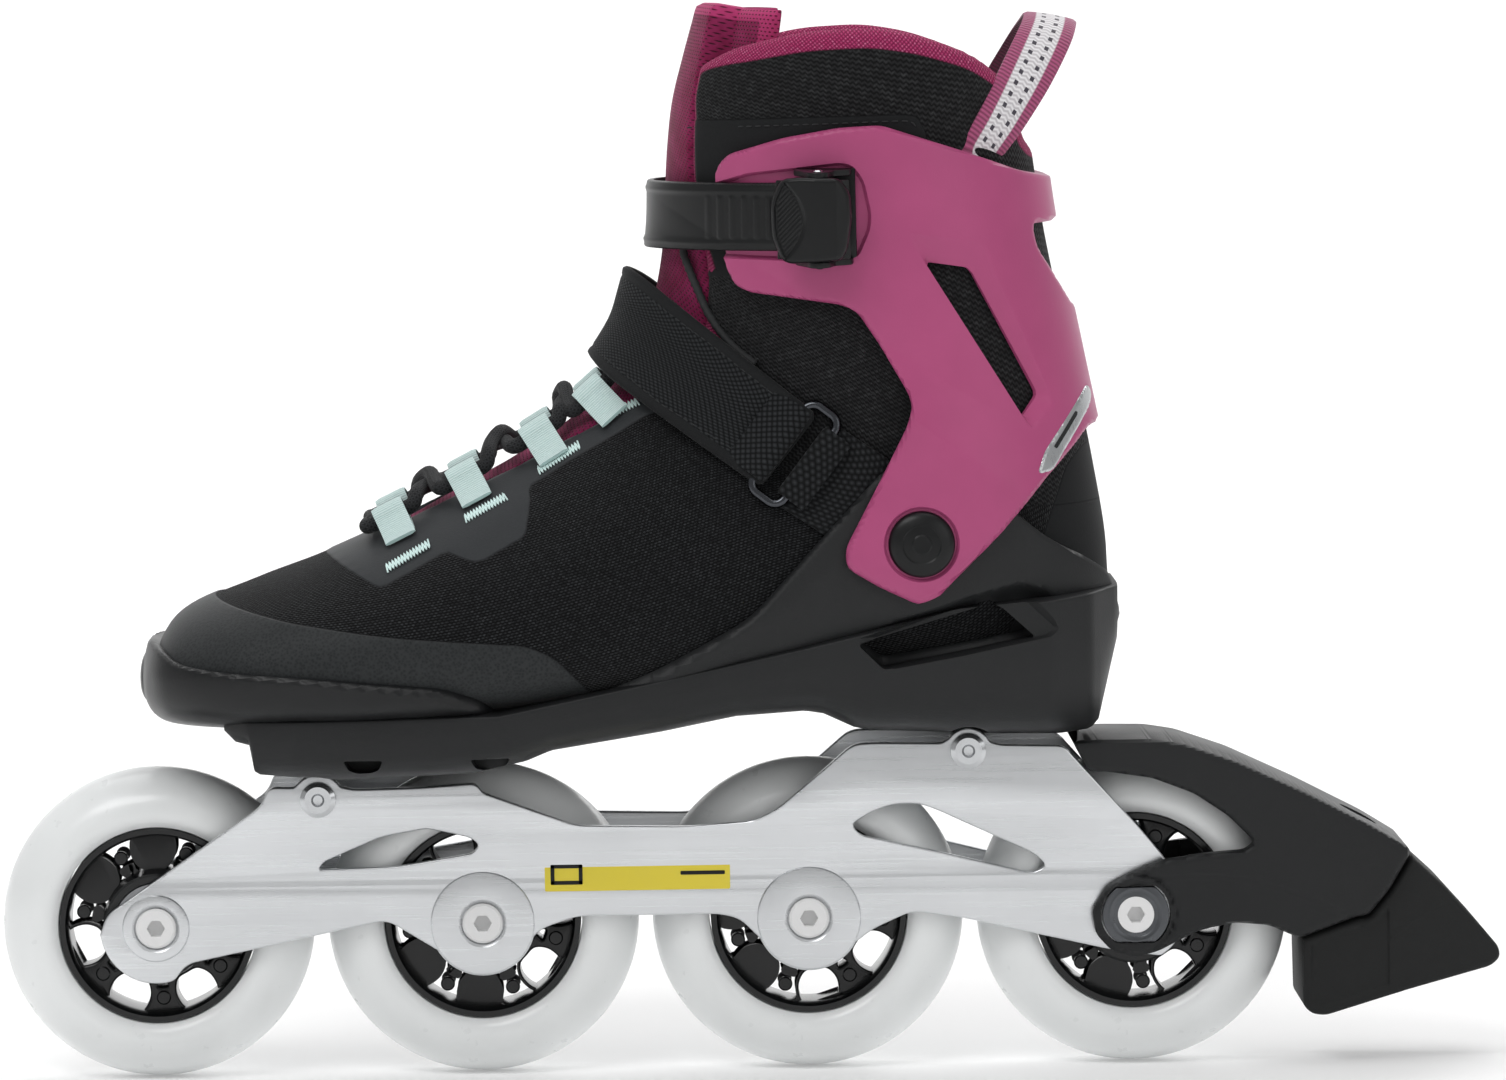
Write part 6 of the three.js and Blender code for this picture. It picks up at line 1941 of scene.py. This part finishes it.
def stripe():
    slot = soft([(104.6, 161.0), (110.6, 169.6), (111.4, 169.0), (105.4, 160.4)], 0.3, 3)
    full = lambda v: (lambda x, y, z, s, a, d: np.full_like(x, v))
    a = field("cuff_stripe", even_rows(10, 14.6, 0.5), 240, lambda x, y, z, s, a: sd(STRIPE, x, z),
              lambda x, y, z, s, a, d: 3.32 - edge_round(d, 0.3), full(2.7), 3.0,
              (0.9, cuff_in, cuff_in),
              a0=PI * 0.55, a1=PI * 1.5)
    # The slot is not cut: a thin dark sheet over the silver stripe paints the shade in it.
    b = field("stripe_slot", even_rows(10, 14.6, 0.5), 240, lambda x, y, z, s, a: sd(slot, x, z),
              full(3.38), full(3.1), 3.0, (0.9, cuff_in, cuff_in), a0=PI * 0.55, a1=PI * 1.45)
    a.data.materials.append(M["silver"])
    b.data.materials.append(M["slot_dark"])
    return joined("cuff_silver_stripe", [a, b])


ride(stripe(), "cuff", ())

for way, node in ((-1, "pivot_bolt_outer"), (1, "pivot_bolt_inner")):
    prof = [(0, 44.5), (2.2, 44.55), (2.6, 44.25), (4.6, 44.1), (5.0, 44.4), (6.6, 44.0),
            (7.6, 43.5),
            (8.2, 42.9), (PIVOT_R, 42.35), (8.2, 41.6), (4, 41.6), (4, 37.5), (0, 37.5)]
    cap = lathe(node + "_cap", *PIVOT, [(r, y * way) for r, y in prof], 96, 0, 28)
    ride(cap, "chassis", [node], M["black"])


# ---- ladder strap ----
STRAP_LOW, STRAP_HIGH, STRAP_T = 211.9, 229.0, 1.7


def ladder():
    def region(x, y, z, s, a):
        d = np.minimum(z - STRAP_LOW, STRAP_HIGH - z)
        return np.minimum(d, np.where(y < 0, 49, 37) - x)

    def top(x, y, z, s, a, d):
        edge = np.minimum(z - STRAP_LOW, STRAP_HIGH - z)
        h = STRAP_T - edge_round(np.maximum(d, 0), 0.6)
        h = h + 0.35 * np.exp(-((edge - 2.0) / 0.7) ** 2)
        wave = np.maximum(np.sin(2 * PI * x / 3.0), 0) ** 0.6
        on = (y < 0) * ramp(x, 17, 20) * ramp(edge, 2.9, 3.6) * ramp(44 - x, 0, 3)
        return h + 0.35 * wave * on

    low = lambda s: cuff_in(s) + 3.35
    return field("ladder_strap_moulding", even_rows(10, 17.5, 0.6), 420, region, top,
                 lambda x, y, z, s, a, d: np.zeros_like(x), 1.0, (2.4, low, low), a0=0, a1=PI,
                 angle=30)


ride(ladder(), "cuff", ["ladder_strap"], M["strap_plastic"])


def seat(obj, at, ax, ay, az):
    """Moves an object drawn round zero to a place, along three directions."""
    obj.data.transform(Matrix.Translation(-Vector(SHIFT * 0.001)))
    m = Matrix.Identity(4)
    for k, v in enumerate((ax, ay, az)):
        for j in range(3):
            m[j][k] = float(v[j])
    for j in range(3):
        m[j][3] = float(place(at)[j])
    obj.data.transform(m)
    return obj


def anchor_screw():
    p, run, across, out = axes_at(*side_at(31, 220.5, 1))
    prof = [(0, 7.9), (2.9, 8.4), (3.9, 8.2), (4.6, 7.3), (4.6, 6.8), (2.1, 6.8), (2.1, 2.0),
            (0, 2.0)]
    o = lathe("anchor_screw", 0, 0, prof, 56, 0, 30)
    cross = [prism("slot", [(-2.2, -0.45), (2.2, -0.45), (2.2, 0.45), (-2.2, 0.45)], 7.4, 9),
             prism("slot", [(-0.45, -2.2), (0.45, -2.2), (0.45, 2.2), (-0.45, 2.2)], 7.4, 9)]
    cut(o, cross)
    shade(o.data, 30)
    o.name = "ladder_anchor_screw_head"
    third = np.cross(run, out)
    return seat(o, p, run, out, third)


ride(anchor_screw(), "cuff", ["ladder_anchor_screw"], M["chrome"])

# ---- buckle ----
B_AT = np.array([46.76, -39.48, 220.78])
B_X = np.array([0.9855, -0.1698, 0.0])
B_UP = np.array([-0.012, -0.0695, 0.9975])
B_N = np.array([-0.1694, -0.9830, -0.0705])
B_PIN = (1.0, 11.0)


def buckle_base():
    floor = plate("floor", box(-2.5, 9.2, 2.65, 3.45, 0.2, 2), [],
                  -12, 12, 0.12, 2)
    side = [(-6, 2.65), (8.4, 2.65), (8.4, 6), (4.6, 8.4)] + arc(*B_PIN, 3.0, 0, 150, 12) + \
        [(-3.4, 9.5), (-6, 6)]
    parts = [floor]
    for y0, y1 in ((-12, -10.5), (10.5, 12)):
        parts.append(plate("cheek", soft(side, 0.8, 3), [arc(*B_PIN, 1.55, 0, 345, 24)], y0, y1,
                           0.25, 3))
    for x in (-1.2, 6.8):
        parts.append(lathe("rivet", x, 0, [(0, -3.1), (1.6, -3.1), (1.6, -3.7), (1.1, -4.0),
                                           (0, -4.05)], 28))
    for o in parts[-2:]:
        co = np.zeros(len(o.data.vertices) * 3)
        o.data.vertices.foreach_get("co", co)
        co = co.reshape(-1, 3) - SHIFT * 0.001
        turned = np.stack([co[:, 0], co[:, 2], -co[:, 1]], -1) + SHIFT * 0.001
        o.data.vertices.foreach_set("co", turned.ravel())
        o.data.update()
    return seat(joined("buckle_base_moulding", parts), B_AT, B_X, B_UP, B_N)


ride(buckle_base(), "cuff", ["buckle_base"], M["black"])

LEVER = soft([(-11.1, 4.4), (-8.3, 10.3), (-3.3, 10.9), (6.7, 10.6), (9.1, 6.6), (9.3, -0.1),
              (8.2, -7.5), (6.9, -10.0), (-6.1, -10.9), (-8.6, -10.0), (-11, -3.9)], 2.0, 6)


def lever_rise(a):
    return np.interp(a, [-10.9, -6, 0.5, 6, 9.6], [11.9, 13.7, 15, 14.4, 12.4])


def buckle_lever():
    part = lambda a, u: (-2.2 - 6.1 * (u / 10.5) ** 2) - a

    def top(a, u, d):
        left = np.minimum(part(a, u), d - 1.0)
        h = lever_rise(a) + 0.25 - edge_round(d, 1.1) - 0.02 * (u / 5) ** 2
        fine = 0.13 * np.sin(2 * PI * (a - u) / 1.25) * ramp(left, 0.7, 1.1)
        split = 0.35 * np.exp(-(part(a, u) / 0.35) ** 2)
        return h - 0.7 * ramp(left, 0, 0.5) + fine - split * (d > 0.8)

    body = slab("lever_top", LEVER, 0.27, top, lambda a, u, d: lever_rise(a) - 1.35, angle=30,
                lines=[part, lambda a, u: part(a, u) - 0.5])
    seat(body, B_AT, B_X, -B_N, B_UP)
    under = [(-9.6, 9.9), (-9.8, 11), (-6, 12.4), (0.5, 13.8), (6, 13.2), (8.9, 11.4), (8.6, 11),
             (4.4, 9.4), (2.9, 7.9), (1, 7.4), (-0.6, 7.6), (-4, 8.8)]
    lower = plate("lever_body", soft(under, 0.8, 3), [arc(*B_PIN, 1.5, 0, 345, 24)], -9.9, 9.9,
                  0.35, 3)
    seat(lower, B_AT, B_X, B_UP, B_N)
    return joined("buckle_lever_moulding", [body, lower])


ride(buckle_lever(), "lever", ["buckle_lever"], M["black"])
pin = lathe("buckle_pin_turned", *B_PIN, [(0, -12.4), (0.9, -12.4), (1.3, -12.1), (1.3, 12.1),
                                          (0.9, 12.4),
                                          (0, 12.4)], 40)
ride(seat(pin, B_AT, B_X, B_UP, B_N), "cuff", ["buckle_pin"], M["chrome"])


# ---- pull loop ----
def tape_mat():
    m = Mat("pull_tape_weave", "e9e6e8", 0.8, Sheen_Weight=0.3, Sheen_Roughness=0.5)
    _, u, v = m.uv()
    side = m.math("ABSOLUTE", u)
    rib = m.tri(v, 1.1)
    chain = m.tri(m.math("ADD", v, m.math("MULTIPLY", m.tri(u, 2.2), 0.5)), 1.2)
    dots = m.math("MULTIPLY", m.math("GREATER_THAN", m.tri(v, 3.4), 0.62),
                  m.math("LESS_THAN", m.math("ABSOLUTE", m.math("SUBTRACT", side, 1.7)), 0.55))
    white = m.mix(chain, "b9b4b8", "f0eef0")
    white = m.mix(dots, white, "3a3540")
    red = m.mix(rib, "6f2448", "b4527f")
    col = m.mix(m.map(side, 3.5, 3.9), white, red)
    m.color(m.mix(m.math("GREATER_THAN", m.attr("inside"), 0.5), col,
                  m.mix(rib, "3c1228", "6a2445")))
    m.bump(m.math("ADD", m.math("MULTIPLY", rib, 0.5), m.math("MULTIPLY", chain, 0.5)), 0.16)
    return m.mat


def pull_loop():
    near = [(87.2, -31.4, 233.6, .70, .64, -.3), (88, -30.6, 236.4, .72, .62, -.3),
            (93, -28.6, 244, .78, .5, -.32), (99.5, -23, 255, .9, .3, -.26),
            (105, -13, 265, .97, .12, -.2),
            (106.8, 0, 269, .98, 0, -.18)]
    far = [(x, -y, z, a, -b, c) for x, y, z, a, b, c in near[-2::-1]]
    line = flow(near + far, 9)
    p, w = line[:, :3], line[:, 3:]
    t = np.gradient(p, axis=0)
    t /= np.linalg.norm(t, axis=1)[:, None]
    w = w - t * np.sum(w * t, 1)[:, None]
    w /= np.linalg.norm(w, axis=1)[:, None]
    out = np.cross(w, t)
    core = np.array([60, 0, 240.0])
    out *= np.sign(np.sum(out * (p - core), 1))[:, None]
    run = np.r_[0, np.cumsum(np.linalg.norm(np.diff(p, axis=0), axis=1))]
    cols = 17
    us = np.linspace(-6.8, 6.8, cols)
    verts, uv, ins = [], [], []
    for layer in (1, -1):
        for i in range(len(p)):
            for u in us:
                edge = 1 - 0.5 * max(0, (abs(u) - 5.9) / 0.9) ** 2
                crown = 0.5 * (u / 6.8) ** 2
                verts.append(p[i] + w[i] * u + out[i] * (0.75 * layer * edge - crown))
                uv.append((u, run[i]))
                ins.append(0.0 if layer > 0 else 1.0)
    return fix_normals(make("pull_loop_woven", verts, band_faces(len(p), cols), 60, {"inside": ins},
                            uv))


ride(pull_loop(), "cuff", ["pull_loop"], tape_mat())

# ---- brake ----
ARM = soft([
    (109.5, 84.6), (118.5, 85.2), (130, 85), (137.9, 83.7), (151.1, 79.1), (168.6, 70.9),
    (186.1, 61.8),
    (195.4, 56), (195.6, 54.6), (190.3, 45.4), (184.9, 38.9), (182, 38.5), (168.1, 33.4),
    (166, 33.6),
    (159.3, 36.6), (150.5, 37.4), (141.6, 35.5), (136.3, 33), (131, 30.3), (125, 28.8), (119, 30.6),
    (115, 35), (114.2, 41), (117.9, 47.4), (124.2, 50.8), (133, 54), (143.7, 55.4), (153.4, 56.1),
    (155.6, 57.9), (154.7, 59.4), (149.1, 65), (140.4, 70.9), (129.8, 75), (118.3, 76.8),
    (113.6, 76.9)],
    1.6, 4)
CREASE = [(112, 43), (118.5, 46.3), (124.9, 48.6), (132.5, 50.0), (143.9, 50.4), (153.4, 49.4),
          (162.9, 46.7), (172.4, 43.2), (181.8, 39.2), (190, 36)]
UNDER = CREASE + [(190, 20), (105, 20), (105, 43)]
BOSS = (AXLES[3], WHEEL_R)


def upright(obj):
    """Stands a lathed piece along Z at the pad screw's place."""
    return seat(obj, (PAD_SCREW_X, 0, 0), (1, 0, 0), (0, 0, 1), (0, -1, 0))


def brake_arm():
    def reach(x, z, d):
        h = 19.6 - edge_round(d, 1.2)
        h = h - 0.75 * ramp(sd(UNDER, x, z), 0, 1.6)
        return h - 0.9 * np.exp(-((np.hypot(x - BOSS[0], z - BOSS[1]) - 10.1) / 0.5) ** 2)

    lines = [lambda x, z: sd(UNDER, x, z), lambda x, z: sd(UNDER, x, z) - 1.6]
    o = slab("brake_arm_moulding", ARM, 0.8, reach, lambda x, z, d: -reach(x, z, d), angle=33,
             lines=lines)
    cutters = [rod("wheel", AXLES[3], WHEEL_R, WELL_R, -14.2, 14.2, 140),
               block("fork", 90, 158, -15.8, 15.8, -5, 60),
               block("rails", 80, 139, -16.6, 16.6, 50, 74),
               block("heel", 80, 112.6, -16.6, 16.6, 66, 95)]
    for way in (-1, 1):
        flat = [p for p in arc(*BOSS, 8.9, 0, 354, 60)]
        flat = [(x, min(max(z, 40 - 7.4), 40 + 7.4)) for x, z in flat]
        cutters.append(prism("pocket", flat, *sorted((15 * way, 21 * way))))
    cut(o, cutters)
    cut(o, [upright(lathe("hole", 0, 0, [(0, z0), (r, z0), (r, z1), (0, z1)], 48))
            for r, z0, z1 in ((2.8, 20, 80), (4.8, 56, 80))])
    shade(o.data, 33)
    return o


ride(brake_arm(), "chassis", ["brake_arm"], M["brake"])
M["satin_dark"] = metal_mat("satin_dark_steel", "5c5e61", 0.34).mat


def adapter(way):
    flat = [(x, min(max(z, 33.0), 47.0)) for x, z in arc(*BOSS, 8.5, 0, 355, 72)]
    o = plate("adapter", flat, [arc(*BOSS, 4.3, 0, 352, 44)], *sorted((15.9 * way, 19.3 * way)),
              0.35, 3)
    ring = lathe("ring", *BOSS, [(6.3, 19.2 * way), (7.0, 19.75 * way), (6.6, 19.8 * way),
                                 (5.7, 19.35 * way)], 56)
    return joined("brake_adapter_%s_turned" % ("outer" if way < 0 else "inner"), [o, ring])


for way, word in ((-1, "outer"), (1, "inner")):
    ride(adapter(way), "chassis", ["brake_adapter_" + word], M["satin_dark"])

PAD = soft([
    (197.3, 52.6), (204.5, 45.9), (213.3, 36), (218.5, 29.7), (218.9, 27), (216.6, 24.8),
    (195.3, 19),
    (173.9, 12.6), (170.4, 13.1), (168.2, 15.3), (167.9, 30.4), (167.9, 32.9), (182.1, 37.9),
    (185.1, 38.1), (190.7, 45), (196.3, 54)], 1.4, 4)


def brake_pad():
    def reach(x, z, d):
        line, _ = line_far([(191.2, 32.8), (203.2, 41.5)], x, z)
        inset = ramp(d, 2.2, 2.8) * ramp(190.5 - x, 0, 0.6) * 0.5
        return 16.2 - edge_round(d, 1.5) + 0.35 * np.exp(-(line / 0.55) ** 4) - inset

    o = slab("brake_pad_moulding", PAD, 0.55, reach, lambda x, z, d: -reach(x, z, d), angle=33,
             lines=[lambda x, z: sd(PAD, x, z) - 1.5])
    cut(o, [upright(lathe("hole", 0, 0, [(0, z0), (r, z0), (r, z1), (0, z1)], 48))
            for r, z0, z1 in ((2.55, 24, 60), (3.6, 5, 22))])
    shade(o.data, 33)
    return o


ride(brake_pad(), "chassis", ["brake_pad"], M["pad"])
screw = lathe("pad_screw_turned", 0, 0, [(0, 57.4), (2.0, 57.4), (2.3, 58.9), (3.9, 58.9),
                                         (4.4, 58.3),
                                         (4.4, 56.3), (2.5, 56.3), (2.5, 26.3), (0, 26.3)], 48, 0,
              28)
ride(upright(screw), "chassis", ["brake_pad_screw"], M["chrome"])

# ---- spacers: hidden in the hubs, so they keep their CAD shape ----
for o in list(bpy.data.objects):
    if o.name.endswith("_spacer") and o.type == "MESH":
        for slot_ in o.material_slots:
            slot_.material = M["steel"]
# ---- floor and light ----
def sheet_floor():
    """A pale floor that curves up into a backdrop behind the skate."""
    path = [(-2.6, 0), (1.6, 0)] + [(1.6 + 0.9 * math.sin(t), 0.9 - 0.9 * math.cos(t))
                                    for t in np.linspace(0.1, PI / 2, 12)] + [(2.5, 3.4)]
    verts, faces = [], []
    for y, z in path:
        verts += [(-4, y, z - 0.0003), (4, y, z - 0.0003)]
    for k in range(len(path) - 1):
        faces.append((2 * k, 2 * k + 1, 2 * k + 3, 2 * k + 2))
    me = bpy.data.meshes.new("floor")
    me.from_pydata(verts, [], faces)
    me.shade_smooth()
    o = put(bpy.data.objects.new("floor", me))
    m = Mat("floor_paper", "efefef", 0.9)
    m.bump(m.noise(m.obj(3), 1.0, 2.0), 0.02)
    m.b.inputs["Emission Color"].default_value = (1, 1, 1, 1)
    m.b.inputs["Emission Strength"].default_value = 0.14
    o.data.materials.append(m.mat)


sheet_floor()
world = bpy.data.worlds.new("studio")
bpy.context.scene.world = world
world.use_nodes = True
world.node_tree.nodes["Background"].inputs[0].default_value = (1, 1, 1, 1)
world.node_tree.nodes["Background"].inputs[1].default_value = 0.42


def area(name, at, to, size, power, shape_y=None):
    data = bpy.data.lights.new(name, "AREA")
    data.shape = "RECTANGLE"
    data.size = size
    data.size_y = shape_y or size
    data.energy = power
    o = put(bpy.data.objects.new(name, data))
    o.location = at
    o.rotation_mode = "QUATERNION"
    o.rotation_quaternion = (Vector(to) - Vector(at)).to_track_quat("-Z", "Y")
    return o


area("key", (-0.7, -1.1, 1.5), (0, 0, 0.12), 1.1, 11, 0.7)
area("fill", (1.2, -1.3, 0.7), (0, 0, 0.1), 1.0, 3)
area("top", (0.1, 0.1, 1.7), (0, 0, 0.1), 1.6, 7, 0.9)
area("rim", (0.9, 1.2, 1.0), (0, 0, 0.15), 0.9, 5)
area("back", (0, 0.9, 1.9), (0, 2.5, 0.7), 2.4, 26, 0.8)
bpy.context.scene.view_settings.view_transform = "Standard"
bpy.context.scene.view_settings.look = "None"
